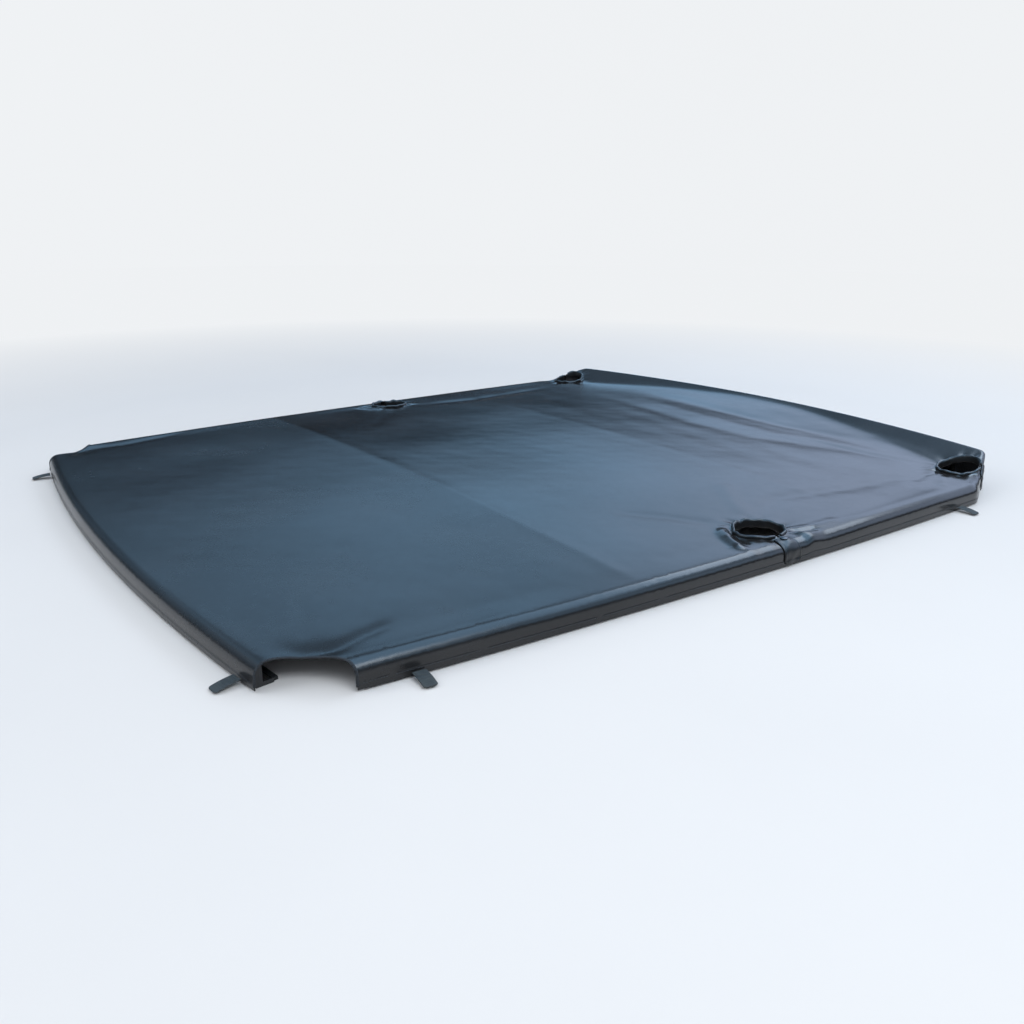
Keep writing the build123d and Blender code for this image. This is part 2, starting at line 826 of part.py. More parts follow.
stud_x = leg_x + stud_at
plain_rear_flap = slit_flap(
    rear_leg, (1, 0), 0.0, rear_flap_start, rear_leg_reach, rear_flap_z, rear_flap_drop
)
with BuildPart() as slit_flap_rear_right:
    add(plain_rear_flap.part)
    with BuildSketch(Plane.XY.offset(rear_flap_z - 1)):
        with Locations((stud_x, rear_leg_y)):
            Circle(cap_radius + 0.1)
    extrude(amount=flap_thick + 2, mode=Mode.SUBTRACT)
finish(slit_flap_rear_right, "slit_flap_rear_right")
slit_flap_front_right = slit_flap(
    front_leg,
    corner_normal,
    radians(corner_rise),
    front_flap_start,
    front_leg_reach,
    front_flap_z,
    front_flap_drop,
)
finish(slit_flap_front_right, "slit_flap_front_right")
for name, source in (("rear", slit_flap_rear_right), ("front", slit_flap_front_right)):
    with BuildPart() as slit_flap_left:
        mirror(source.part, about=Plane.YZ)
    finish(slit_flap_left, f"slit_flap_{name}_left")

# ---- press-studs: a riveted post on the sheet, a cap on the flap ----
with BuildPart() as flap_studs:
    for radius, base_z, height in stud_steps:
        with BuildSketch(Plane.XY.offset(base_z)):
            with Locations((stud_x, rear_leg_y), (-stud_x, rear_leg_y)):
                Circle(radius)
        extrude(amount=height)
finish(flap_studs, "flap_studs")

for name, side in (("right", 1), ("left", -1)):
    with BuildPart() as stud_cap:
        with BuildSketch(Plane.XY.offset(rear_flap_z + cap_lift)):
            with Locations((side * stud_x, rear_leg_y)):
                Circle(cap_radius)
        extrude(amount=cap_stem)
        with BuildSketch(Plane.XY.offset(rear_flap_z + cap_rim_at)):
            with Locations((side * stud_x, rear_leg_y)):
                Circle(cap_radius + cap_rim)
        extrude(amount=cap_rim_thick)
        fillet(stud_cap.edges().group_by(Axis.Z)[-1], 1.0)
        with BuildSketch(Plane.XY.offset(rear_flap_z + cap_lift)):
            with Locations((side * stud_x, rear_leg_y)):
                Circle(stud_radius + 0.7)
        extrude(amount=cap_socket, mode=Mode.SUBTRACT)
    finish(stud_cap, f"stud_cap_rear_{name}")


# ---- pull tabs ----
def pull_tab(plane):
    """A webbing tab hanging from its pivot just outside the hem, tilted down a little."""
    strap = tab_thick / 2
    tilt = radians(tab_droop)
    pivot = plane.from_local_coords((tab_pivot_u, tab_pivot_z, 0))
    down_out = plane.x_dir * cos(tilt) - plane.y_dir * sin(tilt)
    with BuildPart() as tab:
        with BuildSketch(Plane(origin=pivot, x_dir=down_out, z_dir=plane.z_dir)):
            with Locations(((tab_length - strap) / 2, 0)):
                Rectangle(tab_length + strap, tab_thick)
        extrude(amount=tab_width / 2, both=True)
        tip = tab.faces().sort_by(Axis(origin=pivot, direction=down_out))[-1]
        corners = tip.edges().filter_by(lambda edge: edge.length < 2 * tab_thick)
        fillet(corners, 6)
    return tab


tab_places = [
    ("rear", side_plane(rear_tab_y)),
    ("front", side_plane(front_tab_y)),
    ("tail", tail_plane(tail_tab_x)),
]
for name, plane in tab_places:
    tab_right = pull_tab(plane)
    finish(tab_right, f"pull_tab_{name}_right")
    with BuildPart() as tab_left:
        mirror(tab_right.part, about=Plane.YZ)
    finish(tab_left, f"pull_tab_{name}_left")
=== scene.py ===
import json
import math

import bmesh
import bpy
import numpy as np
from mathutils import Matrix, Vector
from mathutils.geometry import delaunay_2d_cdt


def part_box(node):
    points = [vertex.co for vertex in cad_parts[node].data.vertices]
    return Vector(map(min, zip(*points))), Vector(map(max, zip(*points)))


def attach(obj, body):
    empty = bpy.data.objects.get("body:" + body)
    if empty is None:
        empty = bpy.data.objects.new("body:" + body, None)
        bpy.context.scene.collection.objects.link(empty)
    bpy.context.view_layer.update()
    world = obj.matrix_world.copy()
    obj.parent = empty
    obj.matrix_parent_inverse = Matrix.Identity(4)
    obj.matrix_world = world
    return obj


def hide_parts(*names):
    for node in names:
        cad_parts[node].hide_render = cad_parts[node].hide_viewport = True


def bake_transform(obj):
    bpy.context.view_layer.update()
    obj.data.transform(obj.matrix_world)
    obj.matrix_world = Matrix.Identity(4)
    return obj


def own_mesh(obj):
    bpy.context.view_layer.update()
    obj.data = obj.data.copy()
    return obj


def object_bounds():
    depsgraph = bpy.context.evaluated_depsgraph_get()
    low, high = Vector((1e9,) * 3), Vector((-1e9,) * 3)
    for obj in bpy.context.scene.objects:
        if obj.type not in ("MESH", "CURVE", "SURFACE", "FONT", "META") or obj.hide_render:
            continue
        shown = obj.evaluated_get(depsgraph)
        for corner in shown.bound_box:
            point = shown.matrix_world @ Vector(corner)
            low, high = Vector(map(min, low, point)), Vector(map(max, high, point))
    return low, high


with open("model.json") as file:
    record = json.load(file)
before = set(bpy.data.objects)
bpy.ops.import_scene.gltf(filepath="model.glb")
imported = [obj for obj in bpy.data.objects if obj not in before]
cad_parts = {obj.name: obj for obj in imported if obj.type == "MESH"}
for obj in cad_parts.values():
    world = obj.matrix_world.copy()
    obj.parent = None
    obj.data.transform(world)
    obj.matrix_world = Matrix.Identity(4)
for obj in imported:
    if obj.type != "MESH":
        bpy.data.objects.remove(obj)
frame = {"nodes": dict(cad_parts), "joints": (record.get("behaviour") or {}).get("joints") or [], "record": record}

cad_low, cad_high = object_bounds()

# Driving sizes, in metres. The cover lies with +Y to the cab and its rails' undersides at z = 0.
mm = 0.001
front_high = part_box("front_skin")[1]
tail_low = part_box("rear_skin_4")[0]
tail_y = tail_low.y
front_y = front_high.y
side_widest_x = front_high.x
side_widest_y = 600 * mm
side_radius = 15.5
tail_radius = 5.0
header_radius = 2.528
header_end_x = 715 * mm
side_front_y = 690 * mm
notch_centre = np.array([754.3, -904.9]) * mm
notch_radius = 106 * mm

hem_z = tail_low.z
header_hem_z = 50 * mm
header_hem_x = 622 * mm
header_hem_blend = 4 * mm
lip_z = front_high.z
ramp_slope = 0.4
edge_z = 42 * mm
bow_half_span = 780 * mm
bow_places = [-306 * mm, 318 * mm]
header_foot_y = 765 * mm
crown_stations = [
    (tail_y - 44 * mm, 42.5 * mm),
    (bow_places[0], 60 * mm),
    (bow_places[1], 60 * mm),
    (header_foot_y, 57 * mm),
    (front_y + 4 * mm, 78 * mm),
]
bow_ridges = [0.6 * mm, 0.25 * mm]
sags = [2.5 * mm, 2.2 * mm, 1.6 * mm]
notch_sag = 4.5 * mm
# Where the sheet's base colour steps darker towards the tail: painted shade for the rear half's darker reflection,
# with a slightly rougher sheen there too.
painted_shade_and_sheen_step_y = bow_places[0]
painted_shade_and_sheen_step_blend = 5 * mm

sheet_thick = 1.3 * mm
shoulder_radius = 21 * mm
header_shoulder_radius = 8 * mm
shoulder_run = 10 * mm
skirt_run = 22 * mm
hem_width = 12 * mm
hem_step = 0.8 * mm
edge_zone = 60 * mm
opening_lip_height = 3.4 * mm
opening_lip_width = 5.5 * mm
far = 1e9

legs = [
    ("rear", np.array([700, 47]) * mm, 43 * mm, 49 * mm),
    ("front", np.array([700, 761]) * mm, 43 * mm, 45 * mm),
]
sides = (("right", 1), ("left", -1))
slit_half = 1.5 * mm

hinges = {j["name"]: j for j in frame["joints"]}
grid = 8 * mm
piece_borders = [-34 * grid, -50 * grid, -76 * grid, -94 * grid]


def unit(vectors):
    return vectors / np.linalg.norm(vectors, axis=-1, keepdims=True)


# ---- The plan outline of the skirt's outer face
def side_x(y):
    return side_widest_x - side_radius + math.sqrt(side_radius**2 - (y - side_widest_y) ** 2)


def tail_edge_y(x):
    return tail_y + tail_radius - math.sqrt(tail_radius**2 - x**2)


def header_edge_y(x):
    return front_y - header_radius + math.sqrt(header_radius**2 - x**2)


corner_y = tail_y
for _ in range(20):
    corner_y = tail_edge_y(side_x(corner_y))
corner_x = side_x(corner_y)
side_front = np.array([side_x(side_front_y), side_front_y])
header_end = np.array([header_end_x, header_edge_y(header_end_x)])
corner_tangent = unit(header_end - side_front)
corner_normal = np.array([corner_tangent[1], -corner_tangent[0]])


def lengths_along(points):
    """How far along a polyline each of its points is."""
    return np.concatenate([[0], np.cumsum(np.linalg.norm(np.diff(points, axis=0), axis=1))])


def columns_at(places, along, values):
    """Rows of values at places along a polyline."""
    return np.column_stack([np.interp(places, along, column) for column in values.T])


def resample(points, step):
    """Points at an even spacing round a closed polyline."""
    closed = np.vstack([points, points[:1]])
    along = lengths_along(closed)
    count = int(round(along[-1] / step))
    places = np.arange(count) * along[-1] / count
    return columns_at(places, along, closed), along[-1] / count


def smooth_loop(points, step, width):
    """A closed polyline with its corners rounded by a Gaussian of the given width."""
    count = len(points)
    offset = np.minimum(np.arange(count), count - np.arange(count)) * step
    kernel = np.exp(-0.5 * (offset / width) ** 2)
    kernel /= kernel.sum()
    return np.column_stack([np.fft.ifft(np.fft.fft(points[:, k]) * np.fft.fft(kernel)).real for k in (0, 1)])


def build_outline():
    right = [(x, tail_edge_y(x)) for x in np.arange(0, corner_x, 2 * mm)]
    right += [(side_x(y), y) for y in np.arange(corner_y, side_front_y, 2 * mm)]
    shares = np.linspace(0, 1, 80, endpoint=False)
    right += [tuple(side_front + (header_end - side_front) * t) for t in shares]
    right += [(x, header_edge_y(x)) for x in np.arange(header_end_x, 0, -2 * mm)]
    right = np.array(right)
    left = right[::-1] * (-1, 1)
    loop, step = resample(np.vstack([right, left[1:-1]]), 2 * mm)
    return smooth_loop(loop, step, 9 * mm), step


outline, outline_step = build_outline()
tangents = unit(np.roll(outline, -1, axis=0) - np.roll(outline, 1, axis=0))
outwards = np.column_stack([tangents[:, 1], -tangents[:, 0]])


def rough_inset(p):
    """Distance inside the outline, from its arcs; exact well away from the corners."""
    x, y = np.abs(p[:, 0]), p[:, 1]
    side = side_radius - np.hypot(x - (side_widest_x - side_radius), y - side_widest_y)
    tail = tail_radius - np.hypot(x, y - tail_y - tail_radius)
    header = header_radius - np.hypot(x, y - front_y + header_radius)
    corner = (side_front - np.column_stack([x, y])) @ corner_normal
    return np.minimum.reduce([side, tail, header, corner])


def nearest_edge(p):
    """Foot on the outline, outward direction and inset for each point."""
    foot, out, inset = np.zeros_like(p), np.zeros_like(p), np.zeros(len(p))
    for start in range(0, len(p), 2000):
        q = p[start : start + 2000]
        gap = ((q[:, None, :] - outline[None, :, :]) ** 2).sum(2)
        i = gap.argmin(1)
        t = np.clip(((q - outline[i]) * tangents[i]).sum(1) / outline_step, -1, 1)
        j = (i + np.sign(t).astype(int)) % len(outline)
        n = unit(outwards[i] * (1 - np.abs(t))[:, None] + outwards[j] * np.abs(t)[:, None])
        f = outline[i] * (1 - np.abs(t))[:, None] + outline[j] * np.abs(t)[:, None]
        foot[start : start + 2000] = f
        out[start : start + 2000] = n
        inset[start : start + 2000] = ((f - q) * n).sum(1)
    return foot, out, inset


# ---- The shape of the sheet's top face
def smoothstep(t):
    t = np.clip(t, 0, 1)
    return t * t * (3 - 2 * t)


def hump(distance, width):
    return np.exp(-((distance / width) ** 2))


def crown_middle(y):
    """Height along the centreline, with each change of slope eased over a few centimetres."""
    places, heights = zip(*crown_stations)
    spread = np.linspace(-14, 14, 7) * mm
    return sum(np.interp(y + s, places, heights) for s in spread) / len(spread)


def polyline_distance(p, points):
    """Distance to a polyline, and how far along it (0 to 1) the nearest point is."""
    points = np.array(points, float) * mm
    lengths = np.linalg.norm(np.diff(points, axis=0), axis=1)
    total, done = lengths.sum(), 0.0
    best, along = np.full(len(p), far), np.zeros(len(p))
    for a, b, length in zip(points, points[1:], lengths):
        t = np.clip(((p - a) @ (b - a)) / length**2, 0, 1)
        gap = np.linalg.norm(p - a - t[:, None] * (b - a), axis=1)
        nearer = gap < best
        best = np.where(nearer, gap, best)
        along = np.where(nearer, (done + t * length) / total, along)
        done += length
    return best, along


# Folds pulled in the sheet: points along the fold (mm), half width (mm), height (mm).
folds = [
    ([(672, -846), (668, -800), (655, -750), (640, -690)], 13, -2.0),
    ([(700, -826), (716, -760), (728, -660), (742, -480)], 17, 1.9),
    ([(640, -850), (560, -800), (470, -770)], 13, -0.9),
    ([(-668, -842), (-660, -740), (-710, -560)], 16, -1.5),
    ([(-400, 660), (20, 596), (240, 600), (340, 646), (450, 680), (650, 715)], 32, -1.5),
    ([(-420, 740), (20, 678), (240, 676), (430, 730), (640, 760)], 26, 0.9),
    ([(-560, 800), (-150, 790), (200, 760), (420, 800), (600, 820)], 24, -0.9),
    ([(650, 6), (672, -20), (706, -38), (735, -50), (756, -44)], 10, 6.2),
    ([(664, 18), (690, -8), (716, -16), (742, -20)], 8, -3.2),
    ([(762, -52), (772, -90), (772, -150)], 13, 1.8),
    ([(744, 92), (764, 112), (776, 150)], 9, 4.6),
    ([(730, 92), (746, 116), (752, 160)], 8, -3.0),
    ([(730, 104), (742, 150), (744, 240)], 12, 2.0),
    ([(640, 740), (500, 700), (300, 690)], 14, -0.8),
    ([(640, 790), (520, 830), (380, 860)], 14, 0.9),
    ([(640, 100), (600, 240), (640, 420), (655, 600), (650, 700)], 24, -1.7),
    ([(752, 180), (764, 300), (766, 520), (758, 640)], 16, 2.2),
    ([(700, 700), (724, 660), (752, 600)], 11, 2.4),
    ([(672, 706), (676, 660), (690, 590)], 10, -2.0),
    ([(648, 20), (560, -40), (470, -120)], 18, -1.0),
    ([(655, 80), (560, 140), (450, 230)], 18, 0.9),
    ([(-640, 100), (-610, 300), (-650, 640)], 24, -1.8),
    ([(-655, 10), (-690, -30), (-735, -50)], 10, 4.0),
    ([(-640, 20), (-540, -60), (-430, -160)], 20, -0.9),
]


def opening_reach(p, leg, half_x, half_y, side):
    """How far points lie from the middle of a leg opening, with 1 at its edge."""
    local = (p - leg * (side, 1)) / (half_x, half_y)
    return np.hypot(local[:, 0], local[:, 1])


def leg_wrinkles(p):
    """Puckers that run out from each leg opening, strongest at the collar."""
    z = np.zeros(len(p))
    for number, (_, leg, half_x, half_y) in enumerate(legs):
        for side in (1, -1):
            local = (p - leg * (side, 1)) * (side, 1)
            gap = (opening_reach(p, leg, half_x, half_y, side) - 1) * half_y
            angle = np.arctan2(local[:, 1], local[:, 0]) + 0.6 * number
            fade = hump(np.maximum(gap, 0), 30 * mm) * np.clip(gap / (8 * mm), 0, 1)
            waves = np.sin(7 * angle + 1.3) + 0.7 * np.sin(11 * angle + 0.5 + side) + 0.4 * np.sin(17 * angle)
            z += fade * waves * 0.9 * mm
    return z


def drift(p, seed, scale):
    """A smooth random surface between about -1 and 1, from a few seeded waves."""
    rng = np.random.default_rng(seed)
    z = np.zeros(len(p))
    for _ in range(9):
        direction = rng.uniform(0, 2 * math.pi)
        pitch = scale * rng.uniform(0.6, 1.5)
        along = p @ [math.cos(direction), math.sin(direction)]
        z += np.sin(along * 2 * math.pi / pitch + rng.uniform(0, 6))
    return z / 3


def notch_gap(p):
    """Distance outside the nearer notch's circle."""
    return np.hypot(np.abs(p[:, 0]) - notch_centre[0], p[:, 1] - notch_centre[1]) - notch_radius


def top_height(p):
    """Height of the sheet's top face over plan points."""
    x, y = p[:, 0], p[:, 1]
    middle = crown_middle(y)
    crown = middle - (middle - edge_z) * (x / bow_half_span) ** 2
    from_centre = np.hypot(x, y - front_y + header_radius)
    ramp = lip_z + ramp_slope * (from_centre - header_radius)
    ease = 5 * mm
    z = np.maximum(crown, ramp) + ease * np.exp(-np.abs(crown - ramp) / ease) * 0.35
    inset = rough_inset(p)
    inner = smoothstep((inset - 20 * mm) / (60 * mm))
    for bow_y, ridge in zip(bow_places, bow_ridges):
        z += ridge * hump(y - bow_y, 16 * mm) * inner
    stations = [-900 * mm, *bow_places, header_foot_y]
    for start, end, sag in zip(stations, stations[1:], sags):
        t = np.clip((y - start) / (end - start), 0, 1)
        z -= sag * np.sin(math.pi * t) ** 2 * inner
    on_ramp = smoothstep((ramp - crown) / (12 * mm))
    for points, width, height in folds:
        gap, along = polyline_distance(p, points)
        ends = smoothstep(along / 0.25) * smoothstep((1 - along) / 0.25)
        z += height * mm * hump(gap, width * mm) * (0.15 + 0.85 * ends) * (1 - 0.7 * on_ramp)
    z += leg_wrinkles(p)
    z -= notch_sag * hump(notch_gap(p), 34 * mm) * smoothstep((inset - 24 * mm) / (50 * mm))
    z += 0.45 * mm * drift(p, 3, 0.42) * inner + 0.07 * mm * drift(p, 5, 0.07) * inner
    front_half = smoothstep((y - 250 * mm) / (200 * mm))
    z += 0.25 * mm * drift(p * (0.35, 1), 8, 0.1) * inner * front_half
    return z


# ---- Folding the flat pattern over the edge
def header_share(foot):
    """1 along the header's lip, 0 along the sides and tail, changing over the cut corners."""
    along = ((np.column_stack([np.abs(foot[:, 0]), foot[:, 1]]) - side_front) @ corner_tangent) / (175 * mm)
    return smoothstep(along)


def hem_height(foot):
    raised = smoothstep((header_hem_x - np.abs(foot[:, 0])) / header_hem_blend)
    raised *= foot[:, 1] > side_front_y
    return hem_z + (header_hem_z - hem_z) * raised


def drape(flat):
    """Where points of the flat pattern lie once the sheet is pulled down over the rails."""
    out3 = np.zeros((len(flat), 3))
    near = rough_inset(flat) < edge_zone
    out3[~near, :2] = flat[~near]
    out3[~near, 2] = top_height(flat[~near])
    foot, out, inset = nearest_edge(flat[near])
    radius = shoulder_radius + (header_shoulder_radius - shoulder_radius) * header_share(foot)
    turn = np.clip((radius - inset) / (radius + shoulder_run), 0, 1) * math.pi / 2
    plan_inset = np.where(inset > radius, inset, radius * (1 - np.sin(turn)))
    plan = foot - out * plan_inset[:, None]
    shoulder = foot - out * np.maximum(plan_inset, radius)[:, None]
    z = top_height(shoulder) - radius * (1 - np.cos(turn))
    down = np.clip((-shoulder_run - inset) / skirt_run, 0, 1)
    z = z + (hem_height(foot) - z) * down
    fall = skirt_run * down
    hem = smoothstep((fall - (skirt_run - hem_width)) / (0.9 * mm))
    wave = drift(foot, 12, 0.23) * 0.35 * mm * np.sin(math.pi * np.clip(down, 0, 1))
    plan = plan + out * (hem * hem_step + wave)[:, None]
    out3[near, :2] = plan
    out3[near, 2] = z
    return turn_up_openings(flat, out3)


def turn_up_openings(flat, out3):
    """The cut edge of each leg opening turns up a little against its collar."""
    for _, leg, half_x, half_y in legs:
        for side in (1, -1):
            gap = (opening_reach(flat, leg, half_x, half_y, side) - 1) * half_y
            out3[:, 2] += opening_lip_height * hump(np.maximum(gap, 0), opening_lip_width) * (gap > -20 * mm)
    return out3


# ---- The flat pattern, triangulated
def arc_flat_points(plan):
    """Flat-pattern places of plan points on the top face or the shoulder."""
    foot, out, inset = nearest_edge(plan)
    radius = shoulder_radius + (header_shoulder_radius - shoulder_radius) * header_share(foot)
    share = np.arcsin(np.clip((radius - inset) / radius, 0, 1)) / (math.pi / 2)
    flat_inset = np.where(inset > radius, inset, radius - share * (radius + shoulder_run))
    return foot - out * flat_inset[:, None], foot, out


def notch_curve(extra=0.0):
    """The notch's edge in the flat pattern, from hem to hem, for the right-hand corner."""
    radius = notch_radius + extra
    angles = np.linspace(math.pi * 0.3, math.pi * 1.3, 800)
    plan = notch_centre + radius * np.column_stack([np.cos(angles), np.sin(angles)])
    inside = nearest_edge(plan)[2] > 1e-5
    plan = plan[inside]
    flat, foot, out = arc_flat_points(plan)
    over = shoulder_run + skirt_run + 3 * mm
    drops = np.arange(shoulder_run + 1.5 * mm, over, 1.5 * mm)[:, None]
    start = foot[0] + out[0] * drops[::-1]
    end = foot[-1] + out[-1] * drops
    return np.vstack([start, flat, end])


def thin_line(points, step):
    """Points at an even spacing along an open polyline."""
    along = lengths_along(points)
    count = max(2, int(round(along[-1] / step)) + 1)
    return columns_at(np.linspace(0, along[-1], count), along, points)


def in_polygon(points, polygon):
    x, y = points[:, 0], points[:, 1]
    inside = np.zeros(len(points), bool)
    low, high = polygon.min(0), polygon.max(0)
    near = np.nonzero((x > low[0]) & (x < high[0]) & (y > low[1]) & (y < high[1]))[0]
    px, py = x[near], y[near]
    hit = np.zeros(len(near), bool)
    for (ax, ay), (bx, by) in zip(polygon, np.roll(polygon, -1, axis=0)):
        if ay != by:
            crosses = (ay > py) != (by > py)
            hit ^= crosses & (px < (bx - ax) * (py - ay) / (by - ay) + ax)
    inside[near] = hit
    return inside


def ellipse_points(centre, half_x, half_y, step):
    count = int(round(2 * math.pi * (half_x + half_y) / 2 / step))
    angles = np.arange(count) * 2 * math.pi / count
    return centre + np.column_stack([half_x * np.cos(angles), half_y * np.sin(angles)])


def slit_polygon(leg, outward, reach):
    across = sideways(outward) * slit_half
    start = leg + outward * 30 * mm
    end = leg + outward * reach
    return np.array([start - across, end - across, end + across, start + across])


def slit_outward(name):
    return np.array([1.0, 0.0]) if name == "rear" else corner_normal


def sideways(direction):
    return np.array([-direction[1], direction[0]])


def cut_shapes():
    """Polygons removed from the flat pattern: openings, slits and notches."""
    shapes = []
    for name, leg, half_x, half_y in legs:
        hole = ellipse_points(leg, half_x, half_y, 4 * mm)
        slit = slit_polygon(leg, slit_outward(name), 160 * mm)
        shapes += [hole, slit, hole * (-1, 1), slit * (-1, 1)]
    curve = thin_line(notch_curve(), 4 * mm)
    beyond = np.array([[corner_x + 120 * mm, curve[0, 1]], [corner_x + 120 * mm, corner_y - 150 * mm]])
    beyond = np.vstack([beyond, [curve[-1, 0], corner_y - 150 * mm]])
    notch = np.vstack([curve, beyond[::-1]])
    return shapes + [notch, notch * (-1, 1)]


def lattice(xs, ys):
    """Every point with one of the xs and one of the ys."""
    return np.column_stack([across.ravel() for across in np.meshgrid(xs, ys)])


def flat_pattern():
    """Flat points and triangles of the whole sheet."""
    hem_run = shoulder_run + skirt_run
    rows = [18, 14, 10.5, 7, 3.5, 0, -3.5, -7, -10, -13, -16.5, -19.2, -20.3, -21.4, -25, -28.5]
    step_every = 4
    picks = np.arange(0, len(outline), step_every)
    hem_loop = outline[picks] + outwards[picks] * hem_run
    shapes = cut_shapes()

    loose = [outline[picks] - outwards[picks] * (row * mm) for row in rows]
    field = lattice(np.arange(-100, 101) * grid, np.arange(-122, 123) * grid)
    field = field[rough_inset(field) > 23 * mm]
    for _, leg, half_x, half_y in legs:
        for side in (1, -1):
            field = field[opening_reach(field, leg, half_x, half_y, side) > 2.4]
            for scale in 1 + np.cumsum(np.linspace(1.2, 4.4, 9)) / 49:
                loose.append(ellipse_points(leg * (side, 1), half_x * scale, half_y * scale, 4 * mm))
            fine = np.arange(-30, 31) * 4 * mm
            patch = leg * (side, 1) + lattice(fine, fine)
            reach = opening_reach(patch, leg, half_x, half_y, side)
            loose.append(patch[(reach > 1.62) & (reach < 2.36) & (rough_inset(patch) > 20 * mm)])
    for extra in (1.5, 3.5, 6.5, 10.5, 15, 20):
        line = thin_line(notch_curve(extra * mm), 5 * mm)
        loose += [line, line * (-1, 1)]
    loose = np.vstack(loose)
    points = np.vstack([loose, field[notch_gap(field) > 24 * mm]])

    splits = []
    for border in piece_borders:
        reach = side_x(border) + hem_run + 5 * mm
        places = np.arange(-reach, reach + grid, grid)[: int(2 * reach / grid) + 1]
        splits.append(np.column_stack([places, np.full(len(places), border)]))
        points = points[np.abs(points[:, 1] - border) > 2.6 * mm]
    for shape in shapes:
        points = points[~in_polygon(points, shape)]
    for name, leg, _, _ in legs:
        outward = slit_outward(name)
        for side in (1, -1):
            local = (points - leg * (side, 1)) * (side, 1)
            ahead, across = local @ outward, local @ sideways(outward)
            points = points[(ahead < 0) | (np.abs(across) > slit_half + 0.6 * mm)]

    key = np.round(points / (0.9 * mm)).astype(int)
    _, first = np.unique(key, axis=0, return_index=True)
    points = points[np.sort(first)]

    vertices, edges = [points], []
    count = len(points)
    chains = [(hem_loop, True)] + [(s, False) for s in splits] + [(s, True) for s in shapes]
    for chain, closed in chains:
        n = len(chain)
        vertices.append(chain)
        edges += [(count + i, count + (i + 1) % n) for i in range(n if closed else n - 1)]
        count += n
    vertices = np.vstack(vertices)
    result = delaunay_2d_cdt([Vector(v) for v in vertices], edges, [], 0, 1e-6)
    flat = np.array([tuple(v) for v in result[0]])
    triangles = np.array([f for f in result[2] if len(f) == 3])
    middles = flat[triangles].mean(1)
    keep = in_polygon(middles, hem_loop)
    for shape in shapes:
        keep &= ~in_polygon(middles, shape)
    triangles = triangles[keep]
    corners = flat[triangles]
    area = np.cross(corners[:, 1] - corners[:, 0], corners[:, 2] - corners[:, 0])
    triangles[area < 0] = triangles[area < 0][:, ::-1]
    used, triangles = used_only(triangles[np.abs(area) > 1e-10], len(flat))
    return flat[used], triangles


# ---- Mesh helpers
def make_object(name, vertices, faces, materials, face_slots=None, loop_normals=None):
    mesh = bpy.data.meshes.new(name)
    mesh.from_pydata(np.asarray(vertices).tolist(), [], [tuple(int(i) for i in f) for f in faces])
    for material in materials:
        mesh.materials.append(material)
    if face_slots is not None:
        mesh.polygons.foreach_set("material_index", np.asarray(face_slots, np.int32))
    mesh.polygons.foreach_set("use_smooth", np.ones(len(mesh.polygons), bool))
    mesh.update()
    if loop_normals is not None:
        mesh.normals_split_custom_set(loop_normals)
    piece = bpy.data.objects.new(name, mesh)
    bpy.context.scene.collection.objects.link(piece)
    return piece


def vertex_normals(vertices, triangles):
    a, b, c = (vertices[triangles[:, k]] for k in range(3))
    face = np.cross(b - a, c - a)
    normals = np.zeros_like(vertices)
    for k in range(3):
        np.add.at(normals, triangles[:, k], face)
    return normals / np.maximum(np.linalg.norm(normals, axis=1), 1e-12)[:, None]


def used_only(triangles, count):
    """The points that triangles use, and the triangles numbered by them."""
    used = np.unique(triangles)
    lookup = np.zeros(count, int)
    lookup[used] = np.arange(len(used))
    return used, lookup[triangles]


def open_edges(triangles):
    """Directed edges that only one triangle uses."""
    pairs = np.vstack([triangles[:, [0, 1]], triangles[:, [1, 2]], triangles[:, [2, 0]]])
    key = np.sort(pairs, axis=1)
    _, first, counts = np.unique(key, axis=0, return_index=True, return_counts=True)
    return pairs[first[counts == 1]]


def shell(name, vertices, normals, triangles, thick, materials):
    """A closed shell: the given face, its underside and the rim that joins them."""
    used, tri = used_only(triangles, len(vertices))
    top, normal = vertices[used], normals[used]
    n = len(top)
    under = top - normal * thick
    rim = open_edges(tri)
    quads = np.column_stack([rim[:, 1], rim[:, 0], rim[:, 0] + n, rim[:, 1] + n])
    points = np.vstack([top, under])
    across = np.cross(points[quads[:, 1]] - points[quads[:, 0]], points[quads[:, 3]] - points[quads[:, 0]])
    across /= np.maximum(np.linalg.norm(across, axis=1), 1e-12)[:, None]
    faces = tri.tolist() + (tri[:, ::-1] + n).tolist() + quads.tolist()
    slots = [0] * len(tri) + [1] * len(tri) + [0] * len(quads)
    over = normal[tri].reshape(-1, 3)
    below = -normal[tri[:, ::-1]].reshape(-1, 3)
    loops = np.vstack([over, below, np.repeat(across, 4, axis=0)])
    return make_object(name, points, faces, materials, slots, loops)


def grid_faces(n, m, closed_n=False, closed_m=False):
    """Quads over an n by m grid of points, carried on round where it is closed."""
    faces = []
    for i in range(n if closed_n else n - 1):
        here, after = i * m, (i + 1) % n * m
        for j in range(m if closed_m else m - 1):
            k = (j + 1) % m
            faces.append((here + j, here + k, after + k, after + j))
    return faces


def rod_faces(n, m):
    """Faces of n rings of m points, closed by a flat face at each end."""
    ends = [tuple(range(m - 1, -1, -1)), tuple(range((n - 1) * m, n * m))]
    return grid_faces(n, m, closed_m=True) + ends


def turned_over(faces):
    return [(f[0], *f[:0:-1]) for f in faces]


def turned_points(profile, count, centre=(0, 0, 0)):
    """A profile of (radius, height) points turned about a vertical line."""
    x, y, z = centre
    angles = [2 * math.pi * k / count for k in range(count)]
    return [(x + r * math.cos(a), y + r * math.sin(a), z + h) for a in angles for r, h in profile]


def sweep_section(points, side, up, section):
    """Vertices and faces of a closed section carried along an open path, with flat ends."""
    rings = side[:, None, :] * section[None, :, :1] + up[:, None, :] * section[None, :, 1:]
    rings = points[:, None, :] + rings
    return rings.reshape(-1, 3), rod_faces(*rings.shape[:2])


